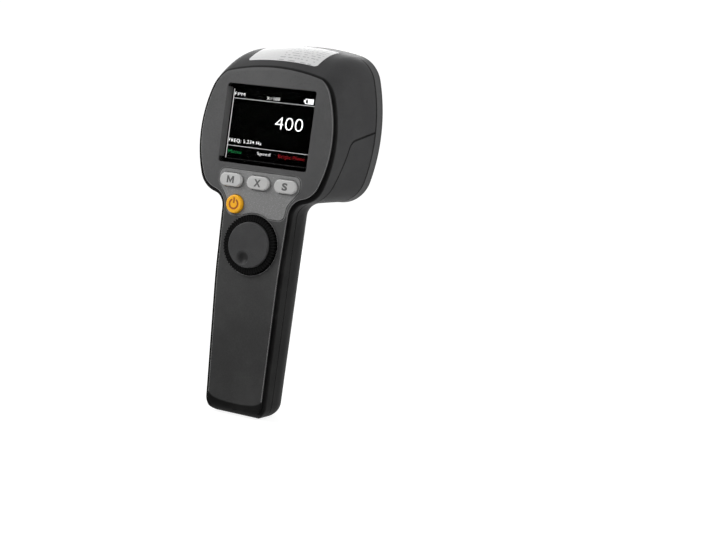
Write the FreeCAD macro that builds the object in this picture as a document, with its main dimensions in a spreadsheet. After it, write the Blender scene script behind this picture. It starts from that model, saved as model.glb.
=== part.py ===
"""Hand-held LED stroboscope: a display head with a nine-lens lamp, on a grip.

Millimetres. X runs across the tool, +Y points the way the lamp shines and +Z is up.
The origin lies under the middle of the tool, at the height of the end of the grip.
The display face and the keys look towards -Y.
"""
import FreeCAD, Part
import Sketcher
import math
import os
from FreeCAD import Placement, Rotation, Vector

doc = FreeCAD.newDocument("stroboscope")

# --------------------------------------------------------------------------
# Driving dimensions: name, value, what it is. Lengths in mm, angles in degrees.
# --------------------------------------------------------------------------
SIZES = [
    # outer form
    ("bezel_front", 27.3, "y of the lamp's front rim"),
    ("head_depth", 47.9, "display face, at the display's middle, to the front rim"),
    ("face_tilt", 3.3, "the display face looks this much upward"),
    ("grip_tilt", 0.4, "the back of the grip leans the other way"),
    ("bend_height", 75.3, "where the two planes of the back meet"),
    ("bend_radius", 250.0, "round between the two planes"),
    ("grip_half_low", 18.4, "half width of the grip at its end"),
    ("grip_half_high", 21.9, "half width of the grip at its root"),
    ("grip_bulge_low", 17.9, "depth of the rounded front of the grip at its end"),
    ("grip_bulge_high", 22.5, "the same at the root"),
    ("grip_axis_y", -11.6, "y where the rounded front of the grip starts"),
    ("grip_root", 123.3, "height of the hidden root of the grip"),
    ("grip_end_round", 8.0, "round of the end of the grip"),
    ("neck_round", 7.6, "concave round between grip and head"),
    ("face_round", 2.5, "round of the rim of the back"),
    ("back_end_round", 7.5, "round of the back at the end of the grip"),
    ("step_depth", 1.3, "ledge round the back plate, under the plate"),
    ("head_half_rear", 40.8, "half width of the head at the display"),
    ("head_half_front", 43.9, "half width of the head at the bezel"),
    ("head_low_rear", 115.3, "height of the head's underside at the display"),
    ("head_low_front", 116.6, "height of the head's underside at the bezel"),
    ("head_wide_rear", 152.3, "height where the head is widest, at the display"),
    ("head_wide_front", 155.3, "height where the head is widest, at the bezel"),
    ("head_top_rear", 182.0, "height of the head's top at the display"),
    ("head_top_front", 198.4, "height of the head's top at the bezel"),
    ("side_crown", 7.6, "how far the sides bulge"),
    ("top_crown", 5.0, "how far the top bulges"),
    ("base_crown", 1.2, "how far the underside bulges"),
    ("head_corner", 13.4, "corner radius of the head, at the display"),
    ("bezel_corner", 17.5, "corner radius of the head, at the bezel"),
    ("top_bulge", 4.6, "the head's top bulges this much between display and bezel"),
    ("wall", 2.2, "wall of the housings and the bezel"),
    ("seam_gap", 0.35, "open seam between the outer skins"),
    ("lip_height", 2.0, "how far the rear housing's lip reaches into the front one"),
    ("lip_clearance", 0.1, "play of that lip"),
    ("lip_inset", 1.2, "outer skin of the lip below the outer form"),
    # parting line of the two housings, seen from the side
    ("seam_head_height", 156.7, "seam height at the bezel"),
    ("seam_corner_y", -4.5, "seam corner on the side of the head"),
    ("seam_corner_height", 150.5, "height of that corner"),
    ("seam_lobe_y", -12.0, "seam at the bottom of the head"),
    ("seam_lobe_height", 124.3, "height of that point"),
    ("seam_grip_y", -16.8, "seam along the grip"),
    ("seam_grip_height", 110.3, "height where the seam meets the grip"),
    ("seam_round", 7.0, "round of the seam's corners"),
    # lamp
    ("bezel_depth", 8.4, "depth of the lamp bezel"),
    ("bezel_rise", 1.2, "how much higher the bezel's front stands"),
    ("bezel_flare", 0.2, "how much wider it is there"),
    ("bezel_screw_bite", 4.5, "bezel screws in the bezel"),
    ("bezel_round", 2.0, "round of the front rim"),
    ("lamp_width", 71.0, "opening of the bezel"),
    ("lamp_corner", 10.0, "corner radius of that opening"),
    ("ledge", 2.0, "ledge that carries the lens plate"),
    ("plate_thickness", 2.0, "lens plate"),
    ("plate_recess", 0.9, "lens plate behind the front rim"),
    ("plate_clearance", 0.15, "play of the lens plate in the bezel"),
    ("lens_rows", 3, "lenses along a row and along a column"),
    ("lens_pitch", 21.1, "spacing of the lenses"),
    ("lens_height", 156.1, "height of the middle lens"),
    ("lens_diameter", 19.4, "front of a lens"),
    ("lens_back", 9.0, "back of a lens"),
    ("lens_pocket", 5.6, "pocket for the emitter in the back of a lens"),
    ("lens_rim", 1.6, "straight rim of a lens"),
    ("lens_depth", 11.0, "lens from front to back"),
    ("lens_recess", 0.25, "lens front behind the front rim"),
    ("lens_clearance", 0.1, "play of a lens in its plate"),
    ("emitter_size", 3.5, "square LED emitter"),
    ("emitter_height", 2.0, "its height"),
    ("led_board_size", 58.0, "square LED board"),
    ("led_board_thickness", 1.6, "LED board"),
    ("pad_thickness", 0.8, "thermal pad"),
    ("sink_height", 52.0, "heat sink along Z"),
    ("sink_base", 3.0, "base of the heat sink"),
    ("fin_depth", 6.5, "fins behind that base"),
    ("fin_thickness", 1.5, "one fin"),
    ("fin_count", 9, "number of fins"),
    # display
    ("display_height", 153.6, "height of the display's middle"),
    ("window_width", 53.6, "opening in the face"),
    ("window_tall", 41.8, "opening in the face"),
    ("window_corner", 1.5, "corner radius of that opening"),
    ("window_recess", 3.0, "window behind the face"),
    ("window_thickness", 0.8, "clear window"),
    ("window_margin", 2.0, "rim of the window behind the face"),
    ("panel_width", 60.3, "LCD module"),
    ("panel_tall", 42.7, "LCD module"),
    ("panel_thickness", 2.4, "LCD module"),
    ("frame_thickness", 1.1, "steel frame behind the LCD module"),
    ("board_thickness", 1.6, "main and driver boards"),
    ("board_width", 59.0, "main board behind the display"),
    ("board_neck_width", 34.0, "main board in the grip"),
    ("board_tab_width", 40.0, "main board above the display"),
    ("board_edge", 0.8, "main board beyond its screws' heads"),
    ("board_head", 20.0, "main board's full width ends here, above the display's middle"),
    ("board_shoulder", 30.0, "main board's full width ends here, below the display's middle"),
    ("board_boss_gap", 0.6, "main board round the housing's boss"),
    ("board_gap", 0.2, "LCD frame to main board"),
    ("board_low", 71.5, "main board below the display's middle"),
    # keys
    ("key_row", 29.7, "key row below the display's middle"),
    ("key_spacing", 16.5, "spacing of the three keys"),
    ("key_length", 13.4, "key"),
    ("key_width", 7.2, "key"),
    ("key_rise", 1.8, "key above the pad"),
    ("key_travel", 0.8, "travel of every key"),
    ("key_clearance", 0.3, "play round a key"),
    ("key_flange", 0.8, "flange that keeps a key in"),
    ("key_round", 0.9, "round of a key's top"),
    ("switch_gap", 0.2, "key above its switch when pressed"),
    ("power_side", -12.6, "x of the power key"),
    ("power_row", 42.2, "power key below the display's middle"),
    ("power_diameter", 9.8, "power key"),
    ("pad_depth", 0.6, "inlaid pad round the keys"),
    ("pad_proud", 0.1, "pad above the face"),
    ("pad_groove", 0.4, "groove round the pad"),
    ("pad_margin", 3.1, "pad below the display opening"),
    ("pad_half_width", 24.4, "half width of the pad at the keys"),
    ("pad_shoulder_row", 31.5, "that width ends this far below the display's middle"),
    ("pad_waist", 18.2, "half width of the pad under the keys"),
    ("pad_waist_row", 39.5, "place of that width"),
    ("pad_foot_half", 17.2, "half width of the pad's foot"),
    ("pad_foot_row", 47.5, "foot of the pad"),
    ("pad_dial_gap", 1.3, "face between the pad and the dial"),
    ("pad_round", 3.5, "corner radius of the pad"),
    ("pad_foot_round", 2.0, "round beside the dial"),
    ("switch_size", 6.0, "push switch"),
    # dial
    ("dial_row", 62.3, "dial below the display's middle"),
    ("dial_diameter", 31.2, "knurled wheel"),
    ("dial_rise", 1.9, "wheel above the face"),
    ("dial_rim", 3.1, "width of the knurled rim"),
    ("dial_clearance", 0.4, "running gap of the wheel"),
    ("well_depth", 1.0, "round well for the wheel"),
    ("web_thickness", 1.6, "web of the wheel"),
    ("knurl_count", 60, "flutes of the wheel"),
    ("knurl_radius", 0.45, "radius of a flute"),
    ("cap_diameter", 24.2, "smooth cap of the dial"),
    ("cap_rise", 3.1, "cap above the face"),
    ("cap_round", 0.7, "round of the cap's edge"),
    ("dimple_diameter", 7.6, "finger dimple"),
    ("dimple_reach", 7.3, "dimple from the dial's middle"),
    ("dimple_angle", 253.0, "direction of the dimple, from +X"),
    ("dimple_depth", 1.5, "depth of the dimple"),
    ("shaft_diameter", 6.0, "dial shaft"),
    ("shaft_clearance", 0.05, "running fit of the shaft in the encoder"),
    ("encoder_size", 12.6, "square rotary encoder"),
    ("encoder_floor", 0.6, "floor of the encoder's bore"),
    # grip
    ("slit_count", 7, "finger slits on the front of the grip"),
    ("slit_low", 25.8, "height of the lowest slit"),
    ("slit_pitch", 8.6, "spacing of the slits"),
    ("slit_length", 15.5, "length of a slit"),
    ("slit_width", 1.3, "width of a slit"),
    ("slit_depth", 1.0, "depth of a slit"),
    ("screw_high", 109.2, "height of the upper housing screw"),
    ("screw_low", 6.7, "height of the lower housing screw"),
    ("screw_hole", 6.0, "screw recess"),
    ("screw_sink", 3.0, "screw recess, depth"),
    ("screw_head", 5.2, "housing screw head"),
    ("screw_shank", 2.9, "housing screw shank"),
    ("screw_head_height", 1.8, "housing screw head"),
    ("screw_bite", 21.0, "housing screw below its head"),
    ("boss_diameter", 7.4, "boss round a housing screw"),
    ("boss_meet_y", -8.0, "y where the two halves of a boss meet"),
    ("cell_diameter", 18.4, "lithium cell"),
    ("cell_length", 65.0, "lithium cell"),
    ("cell_low", 14.3, "height of the cell's lower end"),
    ("cell_y", -5.2, "y of the cell's axis"),
    ("cradle_wall", 1.4, "cradle of the cell"),
    ("cell_clearance", 0.2, "play of the cell"),
    ("socket_height", 98.1, "height of the charging socket"),
    ("socket_length", 9.0, "mouth of the socket"),
    ("socket_width", 3.3, "mouth of the socket"),
    ("socket_depth", 7.4, "body of the socket"),
    ("socket_sink", 0.6, "mouth behind the side of the grip"),
    ("socket_play", 0.15, "play of the socket in its hole"),
    ("lug_size", 7.0, "lugs that hold the bezel"),
    ("lug_depth", 3.0, "depth of a lug"),
    ("lug_x", 38.0, "x of the lugs"),
    ("lug_span", 17.0, "height of the lugs above and below the seam"),
    ("bezel_screw", 2.2, "bezel screw shank"),
    ("screw_play", 0.05, "radial play of every screw in its hole"),
    ("small_shank", 2.0, "shank of the board screws"),
    ("board_screw_x_high", 15.0, "main board's upper screws from the middle"),
    ("board_screw_x_low", 27.5, "main board's lower screws from the middle"),
    ("small_head", 4.0, "head of the small screws"),
    ("small_head_height", 1.4, "height of those heads"),
    ("post_diameter", 6.0, "posts between the lenses"),
    ("post_bite", 5.0, "screws in those posts"),
    ("spacer_diameter", 5.0, "spacers of the driver board"),
    ("spacer_bite", 4.0, "screws in those spacers"),
    ("spacer_x", 24.0, "spacers from the middle"),
    ("spacer_z", 19.0, "spacers above and below the driver board's middle"),
    ("fin_gap", 0.4, "room round screw heads and spacers between the fins"),
    ("part_gap", 0.5, "room above the parts of the driver board"),
    ("part_spread", 14.0, "parts from the driver board's middle"),
    ("inductor_size", 12.0, "inductor"),
    ("inductor_height", 6.0, "inductor"),
    ("can_diameter", 6.3, "capacitor"),
    ("can_length", 11.0, "capacitor"),
    ("chip_size", 6.5, "transistors and chips"),
    ("chip_height", 1.2, "transistors and chips"),
    ("driver_width", 56.0, "driver board"),
    ("driver_tall", 46.0, "driver board"),
    ("driver_height", 154.3, "height of the driver board's middle"),
    ("driver_y", -7.5, "y of the driver board's rear side"),
    ("label_width", 41.6, "white label on the head"),
    ("label_length", 26.4, "along the slope"),
    ("label_y", 0.8, "y of the label's middle"),
    ("label_thickness", 0.15, "label"),
    ("label_corner", 2.0, "corner radius of the label"),
]

sheet = doc.addObject("Spreadsheet::Sheet", "sizes")
for row, (name, value, note) in enumerate(SIZES, start=1):
    sheet.set(f"A{row}", name)
    sheet.set(f"B{row}", str(value))
    sheet.set(f"C{row}", note)
    sheet.setAlias(f"B{row}", name)
doc.recompute()


class Sizes:
    """The sheet's values as attributes: d.wall is the value of the cell called wall."""

    def __getattr__(self, name):
        return float(sheet.get(name))


d = Sizes()
BEHIND = 32.0          # building solids run this far behind and in front of the tool
BIG = 400.0            # larger than the tool
TOUCH = 1e-3           # closer than this is on a surface
SLOT_LENGTH, SLOT_WIDTH = 0.8, 0.16     # a screw's slot, as shares of its head
SWITCH_BODY = 0.75     # square body of a push switch, as a share of its height
SLEEVE = 0.1           # wall of the charging socket, as a share of its width
TONGUE = (0.74, 0.22, 0.8)      # its tongue: shares of the socket's length, width and depth
SOCKET_FLOOR = 0.15    # its floor, as a share of its depth
# Parts on the main board: place across and up, width and length, all in chip sizes.
BOARD_PARTS = ((0, 0, 1.4, 1.4), (-1.6, 0.6, 0.8, 0.6), (1.6, 0.6, 0.5, 1.0),
               (-1.6, -1.2, 1.2, 0.6), (1.6, -1.2, 1.2, 0.6))

display_y = d.bezel_front - d.head_depth
bezel_back = d.bezel_front - d.bezel_depth
housing_end = bezel_back - d.seam_gap
plate_back = d.bezel_front - d.plate_recess - d.plate_thickness
lens_front = d.bezel_front - d.lens_recess
led_board_front = lens_front - d.lens_depth
led_board_back = led_board_front - d.led_board_thickness
sink_front = led_board_back - d.pad_thickness
sink_back = sink_front - d.sink_base
face_slope = math.tan(math.radians(d.face_tilt))
grip_slope = -math.tan(math.radians(d.grip_tilt))
bend_y = display_y + face_slope * (d.bend_height - d.display_height)
face_turn = Rotation(Vector(1, 0, 0), 90 - d.face_tilt)
toward_lamp = Rotation(Vector(1, 0, 0), -90)
window_back = d.window_recess + d.window_thickness
panel_back = window_back + d.panel_thickness
frame_back = panel_back + d.frame_thickness
board_depth = frame_back + d.board_gap
blind_floor = 1.5 * d.wall      # blind screw holes in the rear housing end this far under its skin


def face_place(across=0.0, up=0.0, out=0.0, spin=0.0):
    """Placement on the display face: across it, up it and out of it, turned by spin about its normal."""
    middle = Vector(0, display_y, d.display_height)
    base = middle + face_turn.multVec(Vector(across, up, out))
    return Placement(base, face_turn * Rotation(Vector(0, 0, 1), spin))


def lamp_place(across, y, height):
    """Placement whose own Z looks along +Y, the way the lamp shines."""
    return Placement(Vector(across, y, height), toward_lamp)


def between(first, last, at_first, at_last, at):
    """The value at a place on the straight line from first to last."""
    return first + (last - first) * (at - at_first) / (at_last - at_first)


def rounded_run(points, radii):
    """Edges through the points, with a tangent arc at each inner point that has a radius."""
    edges, start = [], points[0]
    for before, corner, after, radius in zip(points, points[1:], points[2:], radii):
        if radius:
            back, ahead = (before - corner).normalize(), (after - corner).normalize()
            half = back.getAngle(ahead) / 2
            reach = radius / math.tan(half)
            first, last = corner + back * reach, corner + ahead * reach
            centre = corner + (back + ahead).normalize() * (radius / math.sin(half))
            middle = centre + (corner - centre).normalize() * radius
            edges += [Part.makeLine(start, first), Part.Arc(first, middle, last).toShape()]
            start = last
        else:
            edges.append(Part.makeLine(start, corner))
            start = corner
    return edges + [Part.makeLine(start, points[-1])]


def rounded_loop(points, radii):
    """A closed wire through the points, each corner rounded by its radius."""
    start = (points[-1] + points[0]) * 0.5
    return Part.Wire(rounded_run([start] + points + [start], radii))


def rounded_block(width, tall, depth, radius):
    """A block from z = 0 up, centred on the z axis, its upright edges rounded."""
    x, y = width / 2, tall / 2
    corners = [Vector(-x, -y, 0), Vector(x, -y, 0), Vector(x, y, 0), Vector(-x, y, 0)]
    return Part.Face(rounded_loop(corners, [radius] * 4)).extrude(Vector(0, 0, depth))


def cylinder(diameter, length):
    """A cylinder from z = 0 up."""
    return Part.makeCylinder(diameter / 2, length)


def placed(shape, placement):
    """A copy of the shape at the placement."""
    copy = shape.copy()
    copy.Placement = placement * copy.Placement
    return copy


def on_surface(solid, edge):
    """True if the edge lies on the skin of the solid."""
    skin = solid.Shells[0]
    return all(skin.distToShape(Part.Vertex(p))[0] < TOUCH for p in edge.discretize(5))


# --------------------------------------------------------------------------
# The closed outer form of the two housings, and the same form drawn inward
# --------------------------------------------------------------------------
def crowned_outline(y, half, low, wide, top):
    """A closed outline of four bulged sides in the plane at y."""
    corner, shoulder, sill = half - d.side_crown, top - d.top_crown, low + d.base_crown

    def bulged(x0, z0, x1, z1, x2, z2):
        return Part.Arc(Vector(x0, y, z0), Vector(x1, y, z1), Vector(x2, y, z2)).toShape()

    return Part.Wire([bulged(-corner, shoulder, 0, top, corner, shoulder),
                      bulged(corner, shoulder, half, wide, corner, sill),
                      bulged(corner, sill, 0, low, -corner, sill),
                      bulged(-corner, sill, -half, wide, -corner, shoulder)])


def head_outline(y, inset):
    """The head's outline at y, drawn inward by inset."""
    at = (display_y, bezel_back, y)
    along = between(0, 1, *at)
    bulge = 4 * d.top_bulge * along * (1 - along)
    return crowned_outline(y, between(d.head_half_rear, d.head_half_front, *at) - inset,
                           between(d.head_low_rear, d.head_low_front, *at) + inset,
                           between(d.head_wide_rear, d.head_wide_front, *at),
                           between(d.head_top_rear, d.head_top_front, *at) + bulge - inset)


def with_corners(solid, front_y, rear_radius, front_radius):
    """The solid with its four long edges rounded, the radius changing evenly from rear to front."""
    half_run = solid.BoundBox.YLength / 2
    long_edges = [e for e in solid.Edges if e.BoundBox.YLength > half_run]
    first = long_edges[0]
    starts_in_front = first.valueAt(first.FirstParameter).y > front_y - TOUCH
    radii = (front_radius, rear_radius) if starts_in_front else (rear_radius, front_radius)
    return solid.makeFillet(*radii, long_edges)


def head_form(inset, end_y):
    """The head from behind the display to end_y."""
    start_y = display_y - d.face_round
    middle_y = (start_y + end_y) / 2
    solid = Part.makeLoft([head_outline(y, inset) for y in (start_y, middle_y, end_y)], True, False)
    return with_corners(solid, end_y, d.head_corner - inset, d.bezel_corner - inset)


def grip_outline(z, inset):
    """The grip's outline at a height: flat sides and a half ellipse in front."""
    at = (0, d.grip_root, z)
    half = between(d.grip_half_low, d.grip_half_high, *at) - inset
    bulge = between(d.grip_bulge_low, d.grip_bulge_high, *at) - inset
    stretch = FreeCAD.Matrix(half, 0, 0, 0, 0, bulge, 0, d.grip_axis_y, 0, 0, 1, z)
    arc = Part.makeCircle(1, Vector(), Vector(0, 0, 1), 0, 180).transformGeometry(stretch)
    front = arc.Edges[0]
    right, left = Vector(half, d.grip_axis_y, z), Vector(-half, d.grip_axis_y, z)
    rear_right, rear_left = Vector(half, -BEHIND, z), Vector(-half, -BEHIND, z)
    return Part.Wire([Part.makeLine(rear_left, rear_right), Part.makeLine(rear_right, right), front,
                      Part.makeLine(left, rear_left)])


def ahead_of_back(inset):
    """All space in front of the back: the display plane, a bend, and the back of the grip."""
    high, low = d.head_top_front + BEHIND, -BEHIND
    points = [Vector(-BIG / 2, bend_y + inset + face_slope * (high - d.bend_height), high),
              Vector(-BIG / 2, bend_y + inset, d.bend_height),
              Vector(-BIG / 2, bend_y + inset + grip_slope * (low - d.bend_height), low)]
    edges = rounded_run(points, [d.bend_radius])
    far_low, far_high = Vector(-BIG / 2, BIG, low), Vector(-BIG / 2, BIG, high)
    edges += [Part.makeLine(points[-1], far_low), Part.makeLine(far_low, far_high),
              Part.makeLine(far_high, points[0])]
    return Part.Face(Part.Wire(edges)).extrude(Vector(BIG, 0, 0))


def outer_form(inset, end_y):
    """Head and grip as one closed form, with the rounds between them and along the back."""
    head, space = head_form(inset, end_y), ahead_of_back(inset)
    levels = (inset, d.bend_height, d.grip_root)
    grip = Part.makeLoft([grip_outline(z, inset) for z in levels], True, True)
    form = head.fuse(grip).common(space)
    neck = [e for e in form.Edges if on_surface(head, e) and on_surface(grip, e)]
    form = form.makeFillet(d.neck_round + inset, neck)
    end = [f for f in form.Faces if f.BoundBox.ZMax < inset + TOUCH][0]
    form = form.makeFillet(d.grip_end_round - inset, [e for e in end.Edges if not on_surface(space, e)])
    back = [f for f in form.Faces if all(on_surface(space, e) for e in f.Edges)]
    rim = [e for f in back for e in f.Edges if sum(e.isSame(o) for g in back for o in g.Edges) == 1]
    return form.makeFillet(d.face_round - inset, rim).cut(end_corner(inset))


def end_corner(inset):
    """What the round at the foot of the back takes from the form."""
    x, high = -BIG / 2, d.bend_height / 2
    corner = Vector(x, back_y(0) + inset, inset)
    up, ahead = Vector(x, back_y(high) + inset, high), Vector(x, corner.y + high, inset)
    arc = rounded_run([up, corner, ahead], [d.back_end_round - inset])[1]
    first, last = arc.valueAt(arc.FirstParameter), arc.valueAt(arc.LastParameter)
    points = [last, last - Vector(0, 0, BEHIND), corner - Vector(0, BEHIND, BEHIND),
              first - Vector(0, BEHIND, 0), first]
    lines = [Part.makeLine(a, b) for a, b in zip(points, points[1:])]
    return Part.Face(Part.Wire([arc] + lines)).extrude(Vector(BIG, 0, 0))


def in_front_of_seam(shift):
    """All space on the lamp's side of the parting line, moved away from the line by shift."""
    x = -BIG / 2
    head = Vector(x, bezel_back, d.seam_head_height)
    corner = Vector(x, d.seam_corner_y, d.seam_corner_height)
    lobe = Vector(x, d.seam_lobe_y, d.seam_lobe_height)
    grip = Vector(x, d.seam_grip_y, d.seam_grip_height)
    start = corner + (head - corner) * (BIG / 2 / (head - corner).Length)
    points = [start, corner, lobe, grip, Vector(x, d.seam_grip_y, -BEHIND)]
    far = Vector(x, start.y, -BEHIND)
    edges = rounded_run(points, [d.seam_round] * 3)
    edges += [Part.makeLine(points[-1], far), Part.makeLine(far, start)]
    face = Part.Face(Part.Wire(edges))
    if shift:
        face = face.makeOffset2D(-shift)
    return face.extrude(Vector(BIG, 0, 0))


# --------------------------------------------------------------------------
# Making objects of the document
# --------------------------------------------------------------------------
nodes = []


def keep(thing, label):
    """Notes an object as a sub-part, under its label."""
    thing.Label = label
    nodes.append(thing)
    return thing


def solid_node(label, shape, placement=None):
    """A sub-part whose shape is worked out above."""
    thing = doc.addObject("Part::Feature", label)
    thing.Shape = shape
    if placement:
        thing.Placement = placement
    return keep(thing, label)


def primitive(kind, name, placement, **sizes):
    """A Part primitive whose properties follow expressions on the sheet."""
    thing = doc.addObject(kind, name)
    for prop, expression in sizes.items():
        thing.setExpression(prop, expression)
    thing.Placement = placement
    return thing


def cut(name, base, tools):
    """The base without the tools."""
    thing = doc.addObject("Part::Cut", name)
    thing.Base = base
    thing.Tool = tools[0]
    if len(tools) > 1:
        merged = doc.addObject("Part::MultiFuse", name + "_tools")
        merged.Shapes = tools
        thing.Tool = merged
    return thing


# --------------------------------------------------------------------------
# Keypad outline and key places, on the display face
# --------------------------------------------------------------------------
key_places = {"mode_key": (-d.key_spacing, -d.key_row), "multiplier_key": (0.0, -d.key_row),
              "shift_key": (d.key_spacing, -d.key_row)}
power_place = (d.power_side, -d.power_row)


def keypad_block(grow, depth):
    """The pad round the keys as a block from z = 0 up; its lower edge follows the dial."""
    top = -(d.window_tall / 2 + d.pad_margin)
    half = [(d.pad_half_width, top), (d.pad_half_width, -d.pad_shoulder_row),
            (d.pad_waist, -d.pad_waist_row), (d.pad_foot_half, -d.pad_foot_row)]
    points = [Vector(-x, y, 0) for x, y in half] + [Vector(x, y, 0) for x, y in reversed(half)]
    radii = [d.pad_round, d.pad_round, 2 * d.pad_round, d.pad_round]
    face = Part.Face(rounded_loop(points, radii + radii[::-1]))
    arch = d.dial_diameter / 2 + d.pad_dial_gap
    disc = Part.Face(Part.Wire(Part.makeCircle(arch, Vector(0, -d.dial_row, 0))))
    block = face.cut(disc).extrude(Vector(0, 0, depth))
    tips = [e for e in block.Edges if e.BoundBox.ZLength > depth / 2
            and abs(math.hypot(e.CenterOfMass.x, e.CenterOfMass.y + d.dial_row) - arch) < TOUCH]
    block = block.makeFillet(d.pad_foot_round, tips)
    if grow:
        floor = [f for f in block.Faces if f.BoundBox.ZMax < TOUCH][0]
        block = Part.Face(floor.OuterWire).makeOffset2D(grow).extrude(Vector(0, 0, depth))
    return block


def capsule(length, width, depth):
    """An upright block with round ends, centred on the z axis, from z = 0 up."""
    return rounded_block(length, width, depth, width / 2 - TOUCH)


def key_holes(length, width, diameter, low, high):
    """Tools for the three key holes and the power key's hole, between two heights."""
    tools = [placed(capsule(length, width, high - low), Placement(Vector(x, y, low), Rotation()))
             for x, y in key_places.values()]
    hole = placed(cylinder(diameter, high - low), Placement(Vector(*power_place, low), Rotation()))
    return tools + [hole]


# --------------------------------------------------------------------------
# Housings
# --------------------------------------------------------------------------
def grip_front(z):
    """y of the front of the grip, on its middle line."""
    return d.grip_axis_y + between(d.grip_bulge_low, d.grip_bulge_high, 0, d.grip_root, z)


def back_y(z):
    """y of the back, bend left out."""
    slope = face_slope if z > d.bend_height else grip_slope
    return bend_y + slope * (z - d.bend_height)


screw_heights = (d.screw_high, d.screw_low)
lug_places = [(side * d.lug_x, d.seam_head_height + updown * d.lug_span)
              for side in (-1, 1) for updown in (-1, 1)]
board_screw_up = d.window_tall / 2 + d.window_margin + d.key_clearance + d.spacer_diameter / 2
main_board_screws = [(side * d.board_screw_x_high, board_screw_up) for side in (-1, 1)]
main_board_screws += [(side * d.board_screw_x_low, -board_screw_up) for side in (-1, 1)]


def lugs(upper):
    """Lugs inside the head that the bezel's screws go through."""
    block = rounded_block(d.lug_size, d.lug_size, d.lug_depth, d.wall / 2)
    reach = Part.makeBox(d.lug_size + d.side_crown, d.lug_size, d.lug_depth,
                         Vector(0, -d.lug_size / 2, 0))
    made = []
    for x, z in lug_places:
        if (z > d.seam_head_height) == upper:
            lug = block.fuse(reach if x > 0 else reach.mirror(Vector(), Vector(1, 0, 0)))
            lug = lug.cut(cylinder(d.bezel_screw + 2 * d.screw_play, d.lug_depth))
            made.append(placed(lug, lamp_place(x, bezel_back - d.lug_depth, z)))
    return made


def along_y(diameter, x, z, first, last):
    """A cylinder along +Y between two values of y."""
    return placed(cylinder(diameter, last - first), lamp_place(x, first, z))


def screw_head_rooms(upper):
    """Room in the walls for the heads of the bezel's screws."""
    seat = bezel_back - d.lug_depth
    return [along_y(d.small_head + 2 * d.fin_gap, x, z, seat - 2 * d.small_head_height, seat)
            for x, z in lug_places if (z > d.seam_head_height) == upper]


def grip_half(z):
    """Half width of the grip at a height."""
    return between(d.grip_half_low, d.grip_half_high, 0, d.grip_root, z)


socket_mouth = grip_half(d.socket_height) - d.socket_sink
socket_turn = Rotation(Vector(0, 1, 0), Vector(0, 0, -1), Vector(-1, 0, 0), "XYZ")


def socket_place(play):
    """Placement of the socket's inner end, on the main board, its z looking along -X."""
    place = face_place(d.socket_depth - socket_mouth + play, d.socket_height - d.display_height,
                       -board_depth - d.board_thickness - d.socket_width / 2)
    return Placement(place.Base, place.Rotation * socket_turn)


def socket_block(play, reach):
    """The charging socket's outline, opening to -X, from its inner end to reach past its mouth."""
    block = capsule(d.socket_length + 2 * play, d.socket_width + 2 * play, d.socket_depth + play + reach)
    return placed(block, socket_place(play))


def outer_grip_inset(inset):
    """The grip alone, drawn inward."""
    return Part.makeLoft([grip_outline(0.0, inset), grip_outline(d.grip_root, inset)], True, True)


def rear_housing():
    """Back shell: display face, keys' and dial's seats, back of the grip, and the lip of the seam."""
    lip = lip_skin.cut(inner).common(in_front_of_seam(-d.seam_gap).cut(in_front_of_seam(d.lip_height)))
    body = shell.cut(in_front_of_seam(-d.seam_gap / 2)).fuse(lip)
    rim = rounded_block(d.window_width + 2 * d.window_margin, d.window_tall + 2 * d.window_margin,
                        d.window_recess - d.wall / 2, d.window_corner)
    rim = placed(rim, face_place(out=-d.window_recess)).common(lip_skin)
    adds = [rim] + [lug.common(lip_skin) for lug in lugs(True)]
    for z in screw_heights:
        adds.append(along_y(d.boss_diameter, 0, z, back_y(z) + d.wall / 2, d.boss_meet_y))
    board_boss = cylinder(d.spacer_diameter, board_depth - d.wall / 2)
    adds += [placed(board_boss, face_place(x, up, -board_depth)) for x, up in main_board_screws]
    body = body.fuse(adds)
    cuts = [placed(rounded_block(d.window_width, d.window_tall, BEHIND, d.window_corner),
                   face_place(out=-d.window_recess))]
    cuts += [placed(cylinder(d.dial_diameter + 2 * d.dial_clearance, BEHIND),
                    face_place(up=-d.dial_row, out=-d.well_depth)),
             placed(cylinder(d.shaft_diameter + 2 * d.dial_clearance, BEHIND),
                    face_place(up=-d.dial_row, out=-2 * d.wall)),
             placed(keypad_block(d.pad_groove, BEHIND), face_place(out=d.pad_proud - d.pad_depth))]
    play = 2 * d.key_clearance
    flange_play = 3 * play
    holes = key_holes(d.key_length + play, d.key_width + play, d.power_diameter + play,
                      -2 * d.wall, BEHIND)
    holes += key_holes(d.key_length + flange_play, d.key_width + flange_play,
                       d.power_diameter + flange_play, -2 * d.wall - d.key_travel, -d.wall)
    cuts += [placed(hole, face_place()) for hole in holes]
    for z in screw_heights:
        cuts.append(along_y(d.screw_shank + 2 * d.screw_play, 0, z, back_y(z) + blind_floor, BEHIND))
    for x, up in main_board_screws:
        hole = cylinder(d.small_shank + 2 * d.screw_play, board_depth - blind_floor)
        cuts.append(placed(hole, face_place(x, up, -board_depth)))
    cuts += [socket_block(d.socket_play, BEHIND), back_ledge()]
    cuts += screw_head_rooms(True)
    return body.cut(cuts)


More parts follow.
